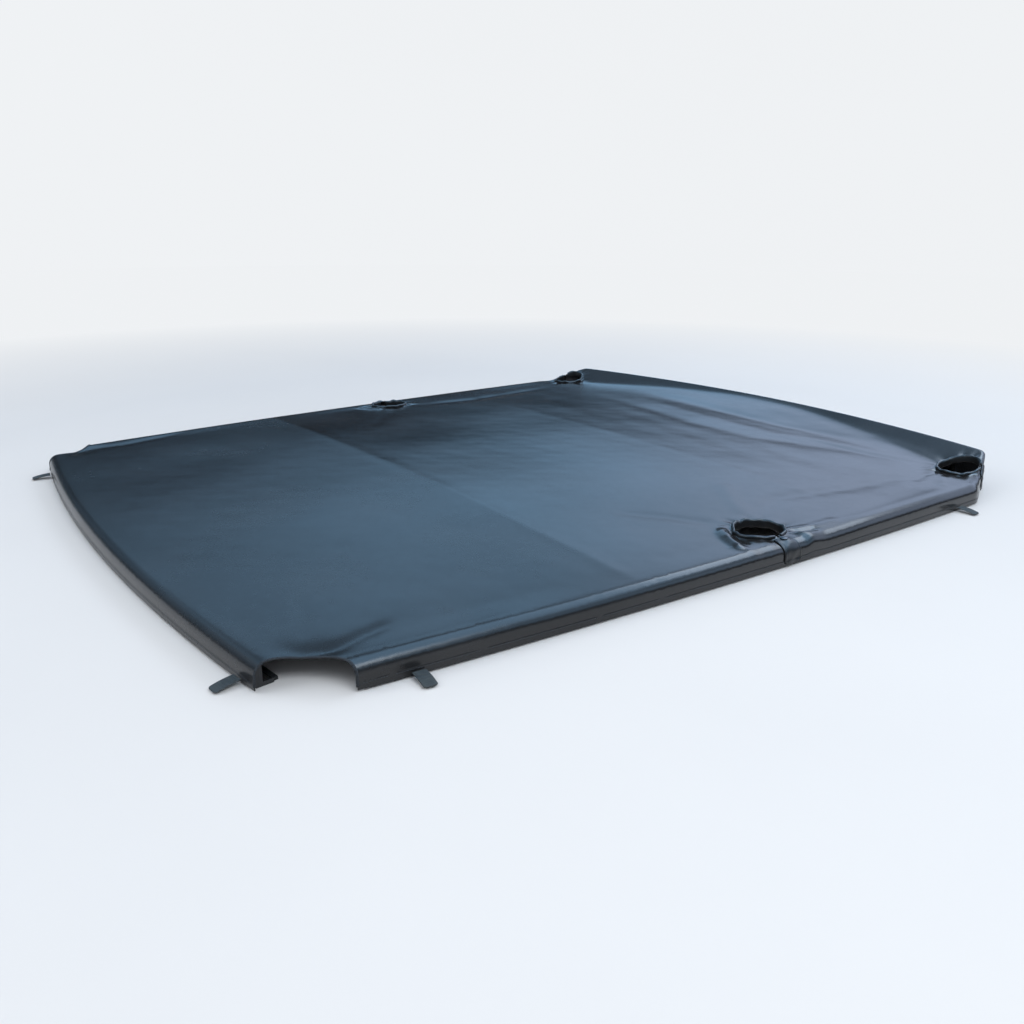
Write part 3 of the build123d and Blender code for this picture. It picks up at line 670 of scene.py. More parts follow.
def stitch_row(path, normals, pitch=4.2 * mm, length=3.0 * mm, radius=0.42 * mm):
    """Short rounded stitches lying along a path on a surface."""
    along = lengths_along(path)
    shape = [(-0.5, 0.35, -0.55), (-0.3, 0.95, 0.1), (0.3, 0.95, 0.1), (0.5, 0.35, -0.55)]
    around = np.arange(6) * math.pi / 3
    stitches = []
    for centre in np.arange(pitch, along[-1] - pitch, pitch):
        stations = centre + np.array([s[0] for s in shape]) * length
        p = columns_at(stations, along, path)
        ups = columns_at(stations, along, normals)
        size = np.linalg.norm(p[-1] - p[0])
        if size < length * 0.5:
            continue
        side = np.cross((p[-1] - p[0]) / size, ups[1])
        rings = []
        for (_, swell, lift), q, up in zip(shape, p, ups):
            section = np.outer(np.cos(around) * 1.15, side) + np.outer(np.sin(around) * 0.8 + lift, up)
            rings.append(q + section * radius * swell)
        stitches.append((np.vstack(rings), rod_faces(4, 6)))
    return joined(stitches)


def joined(parts):
    vertices, faces = [], []
    for more_vertices, more_faces in parts:
        base = len(vertices)
        vertices += [tuple(v) for v in more_vertices]
        faces += [tuple(base + i for i in f) for f in more_faces]
    return vertices, faces


def two_layer_faces(n, m):
    """Faces of a closed slab of two n by m grids of vertices, upper then lower."""
    lower = [tuple(i + n * m for i in f) for f in grid_faces(n, m)]
    loop = list(range(m)) + [i * m + m - 1 for i in range(1, n)]
    loop += list(range(n * m - 2, (n - 1) * m - 1, -1)) + [i * m for i in range(n - 2, 0, -1)]
    rim = [(b, b + n * m, a + n * m, a) for a, b in zip(loop, loop[1:] + loop[:1])]
    return turned_over(grid_faces(n, m)) + lower + rim


def subdivide(piece):
    modifier = piece.modifiers.new("smooth", "SUBSURF")
    modifier.levels = 1
    modifier.render_levels = 1


def face_outward(piece):
    """Point every face of a closed mesh outward."""
    work = bmesh.new()
    work.from_mesh(piece.data)
    bmesh.ops.recalc_face_normals(work, faces=work.faces)
    work.to_mesh(piece.data)
    work.free()
    piece.data.polygons.foreach_set("use_smooth", np.ones(len(piece.data.polygons), bool))


def placed(piece, body, slot, *replaced):
    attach(piece, body)
    if replaced:
        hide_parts(*replaced)


def lie_on_joint(piece):
    """Bake a rear piece's placement into its mesh."""
    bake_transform(piece)


# ---- Materials
class Nodes:
    """A small builder for shader nodes."""

    def __init__(self, tree):
        self.nodes = tree.nodes
        self.links = tree.links

    def feed(self, socket, value):
        """Give an input a plain value, or link a node's output to it."""
        if isinstance(value, bpy.types.NodeSocket):
            self.links.new(value, socket)
        else:
            socket.default_value = value

    def add(self, kind, *values, operation=None, **named):
        """A new node, with its inputs given in order or by name."""
        node = self.nodes.new(f"ShaderNode{kind}")
        if operation:
            node.operation = operation
        for socket, value in zip(node.inputs, values):
            self.feed(socket, value)
        for name, value in named.items():
            self.feed(node.inputs[name], value)
        return node

    def maths(self, operation, a, b):
        return self.add("Math", a, b, operation=operation).outputs[0]

    def spread(self, value, low, high, from_low=0.3, from_high=0.7, smooth=False):
        """A value brought from one range to another, and held at its ends."""
        node = self.add("MapRange", value, from_low, from_high, low, high)
        if smooth:
            node.interpolation_type = "SMOOTHSTEP"
        return node.outputs["Result"]


class Finish(Nodes):
    """A node material in object coordinates (metres)."""

    def __init__(self, name):
        self.material = bpy.data.materials.new(name)
        self.material.use_nodes = True
        super().__init__(self.material.node_tree)
        self.shader = self.nodes["Principled BSDF"]
        self.place = self.add("TexCoord").outputs["Object"]
        self.bump = None

    def set(self, **values):
        for name, value in values.items():
            self.feed(self.shader.inputs[name.replace("_", " ")], value)

    def stretched(self, scale):
        return self.add("Mapping", Vector=self.place, Scale=scale).outputs["Vector"]

    def noise(self, scale, detail=3.0, rough=0.5, vector=None):
        place = vector or self.place
        return self.add("TexNoise", Vector=place, Scale=scale, Detail=detail, Roughness=rough).outputs["Fac"]

    def cells(self, scale):
        """Distance to the borders of irregular cells."""
        shift = self.add("TexNoise", Vector=self.place, Scale=scale * 0.6).outputs["Color"]
        warp = self.add("VectorMath", shift, (0.8 / scale,) * 3, self.place, operation="MULTIPLY_ADD")
        node = self.add("TexVoronoi", Vector=warp.outputs[0], Scale=scale)
        node.feature = "DISTANCE_TO_EDGE"
        return node.outputs["Distance"]

    def waves(self, scale, direction, distortion=0.0):
        node = self.add("TexWave", Vector=self.place, Scale=scale, Distortion=distortion)
        node.bands_direction = direction
        return node.outputs["Fac"]

    def behind(self, place, blend):
        """1 behind a line across the cover, 0 ahead of it."""
        along = self.add("SeparateXYZ", self.place).outputs["Y"]
        return self.spread(along, 1.0, 0.0, place - blend, place + blend)

    def tone(self, value, *stops):
        """Colour the surface by a value, between (place, colour) stops."""
        node = self.add("ValToRGB", value)
        for element, (position, colour) in zip(node.color_ramp.elements, stops):
            element.position = position
            element.color = (*colour, 1)
        self.set(Base_Color=node.outputs["Color"])

    def raise_by(self, height, distance, strength=1.0):
        """Bump the surface, on top of any bump it has."""
        node = self.add("Bump", Distance=distance, Strength=strength, Height=height)
        if self.bump:
            self.feed(node.inputs["Normal"], self.bump)
        self.bump = node.outputs["Normal"]
        self.set(Normal=self.bump)

    def fade_out(self, start, end, colour):
        """Fade from the surface to an even colour with the distance from the centre."""
        distance = self.add("VectorMath", self.place, operation="LENGTH").outputs["Value"]
        share = self.spread(distance, 0.0, 1.0, start, end)
        even = self.add("Emission", (*colour, 1)).outputs[0]
        mix = self.add("MixShader", share, self.shader.outputs[0], even)
        self.feed(self.nodes["Material Output"].inputs["Surface"], mix.outputs[0])


def vinyl(name, dark, light, rough, grain=1.0, sheen_step_and_painted_shade=False):
    """Coated fabric: leather grain in two sizes, faint haze and scuffs in its sheen, and optionally painted shade
    with a rougher sheen behind the rear bow.
    """
    f = Finish(name)
    tone = f.noise(5.5, 1.5, 0.5)
    haze = f.maths("ADD", f.noise(3.0, 4, 0.55), f.maths("MULTIPLY", f.noise(60, 3), 0.35))
    sheen = f.spread(haze, *rough, 0.45, 0.95)
    if sheen_step_and_painted_shade:
        # Behind the rear bow the base colour is darkened. This is painted shade for the darker reflection on the
        # down-sloping rear half of one-colour vinyl. The sheen there is also made a little rougher.
        behind = f.behind(painted_shade_and_sheen_step_y, painted_shade_and_sheen_step_blend)
        tone = f.maths("SUBTRACT", tone, f.maths("MULTIPLY", behind, 0.15))
        sheen = f.maths("ADD", sheen, f.maths("MULTIPLY", behind, 0.06))
    f.tone(tone, (0.3, dark), (0.7, light))
    f.raise_by(f.cells(620 * grain), 0.00010, 0.25)
    f.raise_by(f.noise(900 * grain, 4, 0.6), 0.00006, 0.25)
    f.raise_by(f.noise(45, 4, 0.55), 0.00035, 0.30)
    f.set(Roughness=sheen, IOR=1.47)
    return f.material


def backing(name):
    """Knitted scrim on the underside of the vinyl."""
    f = Finish(name)
    weave = f.maths("MULTIPLY", f.waves(260, "X", 0.4), f.waves(260, "Y", 0.4))
    tone = f.maths("ADD", weave, f.noise(9))
    f.tone(tone, (0.2, (0.012, 0.012, 0.014)), (0.9, (0.05, 0.05, 0.055)))
    f.raise_by(weave, 0.0003, 0.8)
    f.set(Roughness=0.9, IOR=1.35)
    return f.material


def thread(name, colour):
    f = Finish(name)
    f.tone(f.noise(1200, 2), (0.3, tuple(c * 0.6 for c in colour)), (0.7, colour))
    f.raise_by(f.waves(1500, "DIAGONAL", 1.0), 0.0002, 0.8)
    f.set(Roughness=0.62)
    return f.material


def ribbed_tape(name, dark, light, pitch, direction="DIAGONAL"):
    """Woven tape or webbing: ribs with a fine cross weave and a little fuzz."""
    f = Finish(name)
    ribs = f.waves(pitch, direction, 0.3)
    picks = f.waves(pitch * 1.9, "Z", 0.6)
    weave = f.maths("MULTIPLY", ribs, f.maths("ADD", f.maths("MULTIPLY", picks, 0.5), 0.5))
    tone = f.maths("ADD", f.maths("MULTIPLY", weave, 0.6), f.noise(70, 4))
    f.tone(tone, (0.25, dark), (0.95, light))
    f.raise_by(weave, 0.0006, 0.9)
    f.raise_by(f.noise(2500, 3), 0.0001, 0.5)
    f.set(Roughness=0.78)
    return f.material


def brushed(name, dark, light, stretch=(1, 1, 1), rough=(0.28, 0.42), scale=1.0):
    """Drawn or brushed metal, with lines along the piece and faint handling marks."""
    f = Finish(name)
    lines = f.noise(60 * scale, 6, 0.7, f.stretched(stretch))
    tone = f.maths("ADD", f.maths("MULTIPLY", lines, 0.6), f.maths("MULTIPLY", f.noise(14, 4), 0.4))
    f.tone(tone, (0.3, dark), (0.7, light))
    f.raise_by(lines, 0.00006, 0.4)
    f.set(Roughness=f.spread(f.noise(25, 5, 0.6), *rough), Metallic=1.0)
    return f.material


def moulded(name, dark, light, rough=(0.42, 0.6), spark=1400):
    """Spark-textured plastic or rubber."""
    f = Finish(name)
    f.tone(f.noise(30, 5, 0.6), (0.3, dark), (0.7, light))
    f.raise_by(f.noise(spark, 3, 0.6), 0.00012, 0.5)
    f.set(Roughness=f.spread(f.noise(200, 4), *rough))
    return f.material


# The sheet's face, with painted shade behind the rear bow.
sheet_top = vinyl(
    "vinyl_sheet_face", (0.0110, 0.0112, 0.0120), (0.0180, 0.0184, 0.0200), (0.17, 0.24), sheen_step_and_painted_shade=True
)
sheet_back = backing("vinyl_sheet_backing")
satin = (0.30, 0.42)
flap_vinyl = vinyl("vinyl_flap_face", (0.0040, 0.0042, 0.0045), (0.0085, 0.0088, 0.0092), satin, 0.8)
collar_vinyl = vinyl("collar_vinyl_face", (0.0060, 0.0064, 0.0070), (0.0120, 0.0125, 0.0135), satin, 0.8)
hem_thread = thread("hem_thread", (0.030, 0.033, 0.038))
edge_tape = ribbed_tape("binding_tape", (0.008, 0.008, 0.009), (0.020, 0.020, 0.022), 500)
tab_webbing = ribbed_tape("tab_webbing", (0.007, 0.008, 0.008), (0.046, 0.051, 0.050), 190, "Y")
tail_webbing = ribbed_tape("tail_tab_webbing", (0.007, 0.008, 0.008), (0.046, 0.051, 0.050), 190, "X")
snap_metal = brushed(
    "snap_black_nickel", (0.06, 0.06, 0.065), (0.12, 0.12, 0.125), rough=(0.24, 0.38), scale=8.0
)

slot_finishes = {
    "rail_aluminium": brushed("rail_aluminium", (0.42, 0.43, 0.45), (0.62, 0.63, 0.65), (1, 0.02, 1)),
    "bow_steel": brushed("bow_zinc_steel", (0.33, 0.34, 0.36), (0.52, 0.53, 0.55), (0.03, 1, 1)),
    "clip_plastic": moulded("clip_plastic", (0.012, 0.012, 0.013), (0.028, 0.028, 0.030)),
    "black_plastic": moulded("black_plastic", (0.010, 0.010, 0.011), (0.024, 0.024, 0.025)),
    "spring_steel": brushed(
        "spring_steel", (0.30, 0.30, 0.31), (0.50, 0.50, 0.52), rough=(0.22, 0.36), scale=10.0
    ),
    "screw_steel": brushed(
        "screw_steel", (0.42, 0.42, 0.44), (0.66, 0.66, 0.68), rough=(0.22, 0.40), scale=10.0
    ),
    "stud_metal": snap_metal,
    "seal_rubber": moulded("seal_rubber", (0.006, 0.006, 0.007), (0.016, 0.016, 0.016), (0.62, 0.8), 900),
    "bead_cord": moulded("bead_cord", (0.014, 0.014, 0.015), (0.032, 0.032, 0.034), (0.5, 0.7), 700),
}


# ---- The sheet
def in_piece(y, number):
    """Which places along the cover belong to a piece of the sheet: 0 in front, then 1 to 4."""
    borders = [far, *piece_borders, -far]
    return (y < borders[number]) & (y >= borders[number + 1])


def build_sheet():
    flat, triangles = flat_pattern()
    vertices = drape(flat)
    normals = vertex_normals(vertices, triangles)
    middle = flat[triangles][:, :, 1].mean(1)
    for number in range(5):
        mask = in_piece(middle, number)
        name = "cover_front" if number == 0 else f"cover_roll_{number}"
        piece = shell(name, vertices, normals, triangles[mask], sheet_thick, [sheet_top, sheet_back])
        if number == 0:
            placed(piece, "root", "vinyl_sheet", "front_skin")
        else:
            lie_on_joint(piece)
            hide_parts(f"rear_skin_{number}")


def split_runs(mask):
    """Index runs where mask holds."""
    index = np.nonzero(mask)[0]
    return [r for r in np.split(index, np.nonzero(np.diff(index) > 1)[0] + 1) if len(r) > 6]


def build_hem_stitches():
    """A lockstitch row along the top of the hem, broken at the notches and slits."""
    below_fold, clear = 2.4 * mm, 4 * mm
    run = shoulder_run + skirt_run - hem_width + below_fold
    path = drape(outline + outwards * run)
    normal = np.column_stack([outwards, np.zeros(len(outwards))])
    keep = notch_gap(outline) > clear
    for name, leg, _, _ in legs:
        outward = slit_outward(name)
        local = np.column_stack([np.abs(outline[:, 0]), outline[:, 1]]) - leg
        keep &= (np.abs(local @ sideways(outward)) > clear) | (local @ outward < 0)
    for number in range(5):
        runs = split_runs(keep & in_piece(outline[:, 1], number))
        rows = [stitch_row(path[r], normal[r]) for r in runs]
        name = "hem_stitches_front" if number == 0 else f"hem_stitches_{number}"
        piece = make_object(name, *joined(rows), [hem_thread])
        if number == 0:
            placed(piece, "root", "binding")
        else:
            lie_on_joint(piece)


def build_notch_bindings():
    """Folded tape over the sheet's cut edge, from hem to hem round each rear corner."""
    half_width, half_height = 2.6 * mm, 1.7 * mm
    outside_cut, above_hem, probe = 0.6 * mm, 4.6 * mm, 1.2 * mm
    turns = np.linspace(0, 2 * math.pi, 12, endpoint=False)
    section = np.column_stack([np.cos(turns) * half_width, np.sin(turns) * half_height])
    section = np.sign(section) * np.abs(section) ** 0.9 * (mm**0.1)
    for word, side in sides:
        curve = thin_line(notch_curve(outside_cut), 2 * mm)
        curve = curve[nearest_edge(curve)[2] > above_hem - shoulder_run - skirt_run]
        centre = drape(curve)
        across = unit(drape(curve + unit(curve - notch_centre) * probe) - centre)
        up = unit(np.cross(across, unit(np.gradient(centre, axis=0))))
        up[up[:, 2] < -0.5] *= -1
        centre = centre - up * sheet_thick / 2
        vertices, faces = sweep_section(centre, across, up, section)
        vertices = vertices * (side, 1, 1)
        if side < 0:
            faces = turned_over(faces)
        piece = make_object(f"notch_binding_{word}", vertices, faces, [edge_tape])
        lie_on_joint(piece)
        if side > 0:
            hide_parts("notch_bindings")


build_sheet()
build_hem_stitches()
build_notch_bindings()


# ---- Collars round the sports-bar legs
def build_collar(name, leg, half_x, half_y, word, side):
    """A gathered C-shaped collar: a wall through the opening with a crumpled, rolled rim."""
    outward = slit_outward(name)
    gap_angle = math.atan2(outward[1] / half_y, outward[0] / half_x)
    half_gap = 6.5 * mm / half_x
    turns = np.linspace(gap_angle + half_gap, gap_angle + 2 * math.pi - half_gap, 180)
    rng = np.random.default_rng(21 if name == "rear" else 34)
    counts = (3, 5, 8, 12, 17)
    phases = rng.uniform(0, 6.28, len(counts))
    gather = sum(np.sin(turns * k + ph) / (0.8 + 0.25 * i) for i, (k, ph) in enumerate(zip(counts, phases)))
    base_x, base_y = half_x - 1.6 * mm, half_y - 1.6 * mm
    circle = np.column_stack([np.cos(turns), np.sin(turns)])
    around = leg + circle * (half_x + 5 * mm, half_y + 5 * mm)
    sheet_z = drape(around * (side, 1))[:, 2]
    profile = [
        (0.0, -11.0, 0.0), (0.2, -6.0, 0.1), (0.2, -1.0, 0.3), (0.5, 2.6, 0.6), (1.6, 5.0, 0.9),
        (3.4, 6.2, 1.1), (5.4, 6.0, 1.2), (6.9, 4.7, 1.2), (7.5, 2.8, 1.1), (7.2, 0.8, 1.0),
        (6.3, -0.2, 0.9), (5.4, 0.8, 0.9), (5.0, 2.4, 0.9), (3.9, 3.4, 0.8), (2.9, 2.6, 0.6),
        (2.1, 0.0, 0.4), (1.8, -5.0, 0.1), (1.7, -11.0, 0.0),
    ]
    columns = []
    for out_by, up_by, wobble in profile:
        reach = (out_by - 0.6) * mm + gather * 0.6 * mm * wobble
        plan = leg + circle * (reach[:, None] + (base_x, base_y))
        z = sheet_z + up_by * mm + np.roll(gather, 3) * 0.5 * mm * wobble
        columns.append(np.column_stack([plan * (side, 1), z]))
    rings = np.stack(columns, axis=1)
    faces = rod_faces(*rings.shape[:2])
    if side > 0:
        faces = turned_over(faces)
    piece = make_object(f"collar_{name}_{word}", rings.reshape(-1, 3), faces, [collar_vinyl])
    subdivide(piece)
    placed(piece, "root", "collar_vinyl", f"leg_collar_{name}_{word}")


# ---- Flaps over the slits
def rounded_corner(radius, from_tip):
    """How far an edge turns in, at distances from a tip whose corners are rounded."""
    return radius - np.sqrt(np.clip(radius**2 - np.clip(radius - from_tip, 0, radius) ** 2, 0, None))


def build_flap(name, leg, half_x, word, side):
    """A doubled tongue of vinyl that lies on the sheet over the slit, from the collar to the hem."""
    outward = slit_outward(name)
    along = sideways(outward)
    half_width = 22.3 * mm
    reach = (side_x(leg[1]) - leg[0]) if name == "rear" else (side_front - leg) @ corner_normal
    ups = np.linspace(half_x + 6.5 * mm, reach + shoulder_run + skirt_run - 2.5 * mm, 34)
    across = np.linspace(-1, 1, 27)
    length = np.linspace(0, 1, len(ups))
    corner = 10 * mm
    to_end = ups[-1] - ups
    width = half_width - rounded_corner(corner, to_end)
    width -= 3 * mm * smoothstep(1 - length / 0.25)
    a, u = np.meshgrid(across, ups, indexing="ij")
    flat = leg + outward * u[..., None] + along * (a * width[None, :])[..., None]
    shape = flat.shape[:2]
    step = 0.8 * mm

    def place(points):
        return drape(points.reshape(-1, 2) * (side, 1)).reshape(*shape, 3)

    base = place(flat)
    down = place(flat + outward * step) - base
    over = place(flat + along * step) - base
    normal = unit(np.cross(down, over) * side)
    ripple = 0.75 * mm * (1 + np.sin(a * 4.2 + u / (8 * mm)) * np.cos(u / (11 * mm) + 0.9 * a))
    ripple += 1.3 * mm * hump(u - (half_x + 27 * mm), 5 * mm) * hump(a - 0.50, 0.3)
    ripple += 1.0 * mm * hump(u - (half_x + 33 * mm), 4 * mm) * hump(a + 0.55, 0.3)
    edge = 1 - 0.5 * np.clip((np.abs(a) - 0.90) / 0.10, 0, 1) ** 2
    bead = 0.35 * mm * hump(np.abs(a) - 0.93, 0.06)
    seam = -0.30 * mm * hump(np.abs(a) - 0.78, 0.035)
    lift = 0.45 * mm + ripple * 0.7
    lower = base + normal * lift[..., None]
    upper = base + normal * (lift + 1.9 * mm * edge + bead + seam)[..., None]
    vertices = np.vstack([upper.reshape(-1, 3), lower.reshape(-1, 3)])
    piece = make_object(f"flap_{name}_{word}", vertices, two_layer_faces(*shape), [flap_vinyl])
    face_outward(piece)
    subdivide(piece)
    placed(piece, f"flap_{name}_{word}", "vinyl_flap", f"slit_flap_{name}_{word}")
    lines = [(3, slice(1, -3)), (-4, slice(1, -3)), (slice(3, -3), -4)]
    rows = [stitch_row(upper[line], normal[line], 3.6 * mm, 2.7 * mm, 0.4 * mm) for line in lines]
    row = make_object(f"flap_stitches_{name}_{word}", *joined(rows), [hem_thread])
    face_outward(row)
    placed(row, f"flap_{name}_{word}", "vinyl_flap")


for name, leg, half_x, half_y in legs:
    for word, side in sides:
        build_collar(name, leg, half_x, half_y, word, side)
        build_flap(name, leg, half_x, word, side)


# ---- Press-stud caps
def build_stud_cap(word):
    """A domed snap cap with a rolled rim, hollow below for the stud."""
    low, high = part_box(f"stud_cap_rear_{word}")
    centre = Vector(((low.x + high.x) / 2, (low.y + high.y) / 2, low.z))
    full = (high.x - low.x) / 2
    tall = high.z - low.z
    hollow = 3.9 * mm
    dome = [
        (0.80, 0.0), (0.84, 0.30), (0.97, 0.50), (1.0, 0.62), (0.97, 0.74), (0.90, 0.80), (0.82, 0.78),
        (0.72, 0.86), (0.50, 0.95), (0.25, 0.99),
    ]
    profile = [(hollow, 0.0)] + [(full * r, tall * z) for r, z in dome]
    profile += [(0.02 * mm, tall), (0.02 * mm, tall * 0.64), (hollow, tall * 0.62)]
    count = 48
    faces = turned_over(grid_faces(count, len(profile), closed_n=True, closed_m=True))
    piece = make_object(f"snap_cap_{word}", turned_points(profile, count, centre), faces, [snap_metal])
    subdivide(piece)
    placed(piece, f"flap_rear_{word}", "stud_metal", f"stud_cap_rear_{word}")


for word in ("right", "left"):
    build_stud_cap(word)


# ---- Coil springs inside the bows
def build_spring(name):
    """A wound spring with closed ends, coiled out from its stop along the plunger's slide."""
    low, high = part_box(f"bow_spring_{name}")
    outward = -unit(np.array(hinges[f"plunger_slide_{name}"]["axis"]))
    length, coil_radius, wire_radius = 38 * mm, 6 * mm, 0.7 * mm
    turns, steps_per_turn, sides = 9, 24, 8
    stop = (np.array(low) + np.array(high)) / 2 - outward * (length / 2 - wire_radius)
    across = np.array([0.0, 1.0, 0.0])
    upright = np.cross(outward, across)
    t = np.linspace(0, 1, turns * steps_per_turn + 1)
    angle = (2 * math.pi * turns * t)[:, None]
    radial = across * np.cos(angle) + upright * np.sin(angle)
    climb = smoothstep(t) * 0.35 + t * 0.65
    path = stop + radial * coil_radius + outward * (climb * (length - 2 * wire_radius))[:, None]
    ring = np.linspace(0, 2 * math.pi, sides, endpoint=False)
    section = np.column_stack([np.cos(ring), np.sin(ring)]) * wire_radius
    vertices, faces = sweep_section(path, radial, np.tile(outward, (len(path), 1)), section)
    piece = make_object(f"spring_{name}", vertices, faces, [slot_finishes["spring_steel"]])
    face_outward(piece)
    placed(piece, "root", "spring_steel", f"bow_spring_{name}")
    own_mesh(piece)


for name in ("rear", "front"):
    build_spring(name)


# ---- Pull tabs
def build_tab(name, word):
    """A strap folded back on itself, rounded at its free end and box-stitched near the hem."""
    node = f"pull_tab_{name}_{word}"
    joint = hinges[f"tab_hinge_{name}_{word}"]
    pivot = np.array(joint["pos_m"])
    across = unit(np.array(joint["axis"]))
    away = sum(np.array(corner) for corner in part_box(node)) / 2 - pivot
    away[2] = 0
    away = unit(away - across * (away @ across))
    length, half_width, thick = 40 * mm, 11.3 * mm, 2.4 * mm
    droop = math.radians(9)
    down_out = away * math.cos(droop) - np.array([0, 0, 1]) * math.sin(droop)
    upward = np.cross(across, down_out)
    upward *= np.sign(upward[2])
    t = np.linspace(0, 1, 26)
    lift = 1.1 * mm * np.sin(math.pi * t) - 0.2 * mm
    path = pivot + down_out * (t * (length - 1.0 * mm))[:, None] + upward * lift[:, None]
    rows = 15
    a = np.linspace(-1, 1, rows)[:, None]
    width = half_width - rounded_corner(4.5 * mm, (1 - t) * length)
    edge = np.sqrt(np.clip(1 - (abs(a) ** 9), 0, 1)) * 0.75 + 0.25
    swell = 1 + 0.18 * np.sin(math.pi * np.clip((t - 0.38) / 0.62, 0, 1))
    flat = path + across * (a * width)[..., None]
    rise = upward * (thick / 2 * edge * swell)[..., None]
    surface = flat + rise
    vertices = np.vstack([surface.reshape(-1, 3), (flat - rise).reshape(-1, 3)])
    webbing = tail_webbing if name == "tail" else tab_webbing
    piece = make_object(f"strap_{name}_{word}", vertices, two_layer_faces(rows, len(t)), [webbing])
    face_outward(piece)
    subdivide(piece)
    placed(piece, f"tab_{name}_{word}", "webbing", node)

    corners = np.array([(2, 4), (2, 13), (rows - 3, 13), (rows - 3, 4), (2, 4), (rows - 3, 13)])
    steps = 14
    shares = np.arange(steps + 1)[:, None] / steps
    rows_of_thread = []
    for first, last in zip(corners, corners[1:]):
        i, j = np.round(first + (last - first) * shares).astype(int).T
        start, end = surface[tuple(first)], surface[tuple(last)]
        line = start + (end - start) * shares
        line = line + upward * ((surface[i, j] - line) @ upward)[:, None]
        ups = np.tile(upward, (steps + 1, 1))
        rows_of_thread.append(stitch_row(line, ups, 2.6 * mm, 2.0 * mm, 0.36 * mm))
    row = make_object(f"strap_stitches_{name}_{word}", *joined(rows_of_thread), [hem_thread])
    face_outward(row)
    placed(row, f"tab_{name}_{word}", "webbing")


for name in ("rear", "front", "tail"):
    for word in ("right", "left"):
        build_tab(name, word)


# ---- Finishes on the CAD pieces that stay
node_slots = {}
for part in frame["record"]["subparts"]:
    for node in part.get("nodes", [part.get("node")]):
        node_slots[node] = part.get("material_slot") or part.get("slot")


def finish_for(node):
    """The finish of a CAD node, from the material its mesh was packed with."""
    names = [m.name.split(".")[0] for m in frame["nodes"][node].data.materials if m]
    for name in names + [node_slots.get(node)]:
        if name in slot_finishes:
            return slot_finishes[name]
    return None


for node, piece in frame["nodes"].items():
    if piece.hide_render:
        continue
    chosen = finish_for(node)
    if chosen is None:
        print("NO FINISH", node, [m.name for m in piece.data.materials])
        chosen = slot_finishes["black_plastic"]
    for slot in range(len(piece.data.materials)):
        piece.data.materials[slot] = chosen


# ---- Floor, light and camera
def build_floor():
    """A pale floor, and a pale sweep behind it that only the camera sees, so there is no horizon."""
    f = Finish("studio_floor")
    f.tone(f.noise(1.5, 4), (0.3, (0.68, 0.68, 0.685)), (0.7, (0.70, 0.70, 0.705)))
    f.raise_by(f.noise(90, 4), 0.0004, 0.3)
    f.set(Roughness=0.9)
    sweep = Finish("studio_sweep")
    sweep.tone(sweep.noise(0.2), (0.3, (0.0, 0.0, 0.0)), (0.7, (0.01, 0.01, 0.01)))
    pale = (0.86, 0.88, 0.90)
    sweep.set(Roughness=1.0, Specular_IOR_Level=0.0)
    sweep.set(Emission_Color=(*pale, 1), Emission_Strength=1.0)
    f.fade_out(1.5, 3.4, pale)
    level = cad_low.z - 0.5 * mm
    size, cove, count = 9.0, 3.0, 96
    profile = [(0.01, level), (3.0, level), (size, level)]
    turns = np.linspace(0, math.pi / 2, 16)
    rise = [(size + cove * math.sin(t), level + cove * (1 - math.cos(t))) for t in turns]
    rise.append((size + cove, level + 9.0))
    for name, points, finish in (("floor", profile, f), ("backdrop", rise, sweep)):
        faces = grid_faces(count, len(points), closed_n=True)
        surface = make_object(name, turned_points(points, count), faces, [finish.material])
    backdrop = bpy.data.objects["backdrop"]
    backdrop.visible_diffuse = False
    backdrop.visible_glossy = False
    backdrop.visible_shadow = False


def softbox(name, place, target, size, power, colour):
    data = bpy.data.lights.new(name, "AREA")
    data.shape = "RECTANGLE"
    data.size, data.size_y = size
    data.energy = power
    data.color = colour
    lamp = bpy.data.objects.new(name, data)
    bpy.context.scene.collection.objects.link(lamp)
    lamp.location = place
    lamp.rotation_mode = "QUATERNION"
    lamp.rotation_quaternion = (Vector(target) - Vector(place)).to_track_quat("-Z", "Y")
    return lamp


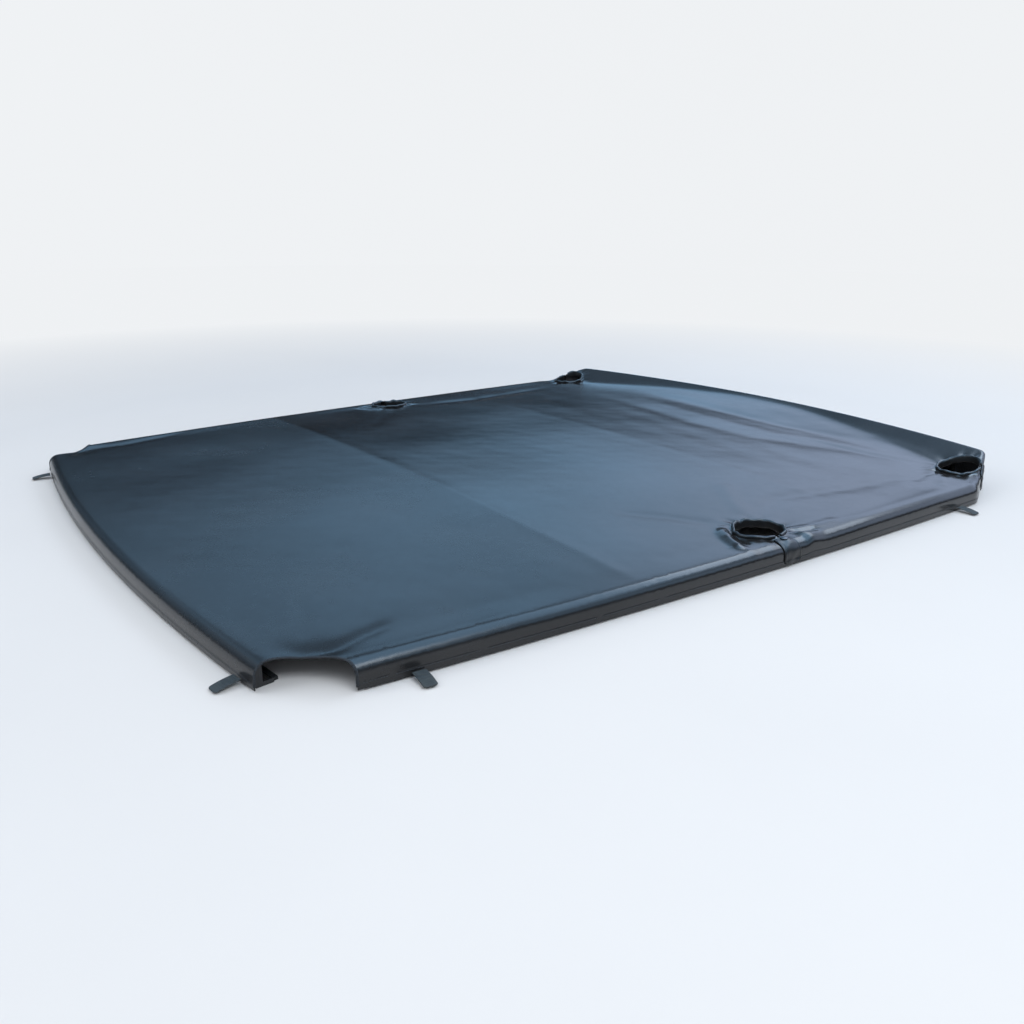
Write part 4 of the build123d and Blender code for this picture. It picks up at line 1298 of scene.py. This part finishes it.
def build_world():
    """Surroundings: even for diffuse light; in reflections dark low down and bluish ahead and above."""
    world = bpy.data.worlds.new("studio")
    bpy.context.scene.world = world
    world.use_nodes = True
    n = Nodes(world.node_tree)
    direction = n.add("SeparateXYZ", n.add("TexCoord").outputs["Generated"]).outputs
    ahead, above = direction["Y"], direction["Z"]

    def band(output, start, end, low, high):
        return n.spread(output, low, high, start, end, smooth=True)

    skyline = n.maths("ADD", above, n.maths("MULTIPLY", ahead, 0.25))
    sky = n.maths("ADD", band(skyline, 0.355, 0.412, 0.0, 1.0), band(skyline, 0.420, 0.490, 0.0, 0.85))
    sky = n.maths("MULTIPLY", sky, band(above, 0.42, 0.62, 1.0, 0.2))
    open_side = band(direction["X"], -0.6, -0.2, 0.0, 3.6)
    sky = n.maths("ADD", sky, n.maths("MULTIPLY", open_side, band(above, 0.5, 0.8, 0.0, 1.0)))
    behind = n.maths("MULTIPLY", band(ahead, -0.35, 0.0, 0.5, 0.0), band(above, 0.1, 0.3, 0.2, 1.0))
    below = band(above, -0.05, 0.05, 0.5, 0.0)
    strength = n.maths("ADD", n.maths("ADD", sky, behind), below)
    tint = n.add("Mix")
    tint.data_type = "RGBA"
    n.feed(tint.inputs["Factor"], band(ahead, 0.55, 0.85, 0.0, 1.0))
    tint.inputs["A"].default_value = (0.36, 0.66, 1.0, 1)
    tint.inputs["B"].default_value = (0.58, 0.72, 1.0, 1)
    reflected = n.nodes["Background"]
    n.feed(reflected.inputs["Color"], tint.outputs["Result"])
    n.feed(reflected.inputs["Strength"], strength)
    ambient = n.add("Background", (0.90, 0.94, 1.0, 1), 0.72)
    glossy = n.add("LightPath").outputs["Is Glossy Ray"]
    choose = n.add("MixShader", glossy, ambient.outputs[0], reflected.outputs[0])
    n.feed(n.nodes["World Output"].inputs["Surface"], choose.outputs[0])


def build_camera():
    heading, pitch, roll = math.radians(-53.23), math.radians(-18.44), math.radians(0.39)
    level = math.cos(pitch)
    forward = Vector((math.sin(heading) * level, math.cos(heading) * level, math.sin(pitch)))
    right = forward.cross(Vector((0, 0, 1))).normalized()
    up = right.cross(forward)
    right, up = right * math.cos(roll) + up * math.sin(roll), up * math.cos(roll) - right * math.sin(roll)
    data = bpy.data.cameras.new("camera")
    data.sensor_width = 36
    data.lens = 31.73
    camera = bpy.data.objects.new("camera", data)
    bpy.context.scene.collection.objects.link(camera)
    turn = Matrix((right, up, -forward)).transposed()
    camera.matrix_world = Matrix.Translation((1.700, -1.276, 0.609)) @ turn.to_4x4()
    bpy.context.scene.camera = camera


build_floor()
build_world()
softbox("sky_ahead", (0.4, 3.4, 3.2), (0.3, 0.2, 0), (3.6, 1.6), 60, (0.78, 0.88, 1.0))
softbox("key_right", (3.0, -0.6, 2.8), (0.2, 0, 0), (2.2, 1.4), 62, (0.93, 0.97, 1.0))
softbox("fill_tail", (-0.6, -3.4, 2.4), (0, -0.4, 0), (2.5, 1.2), 30, (0.96, 0.98, 1.0))
bpy.context.scene.view_settings.view_transform = "Standard"
build_camera()
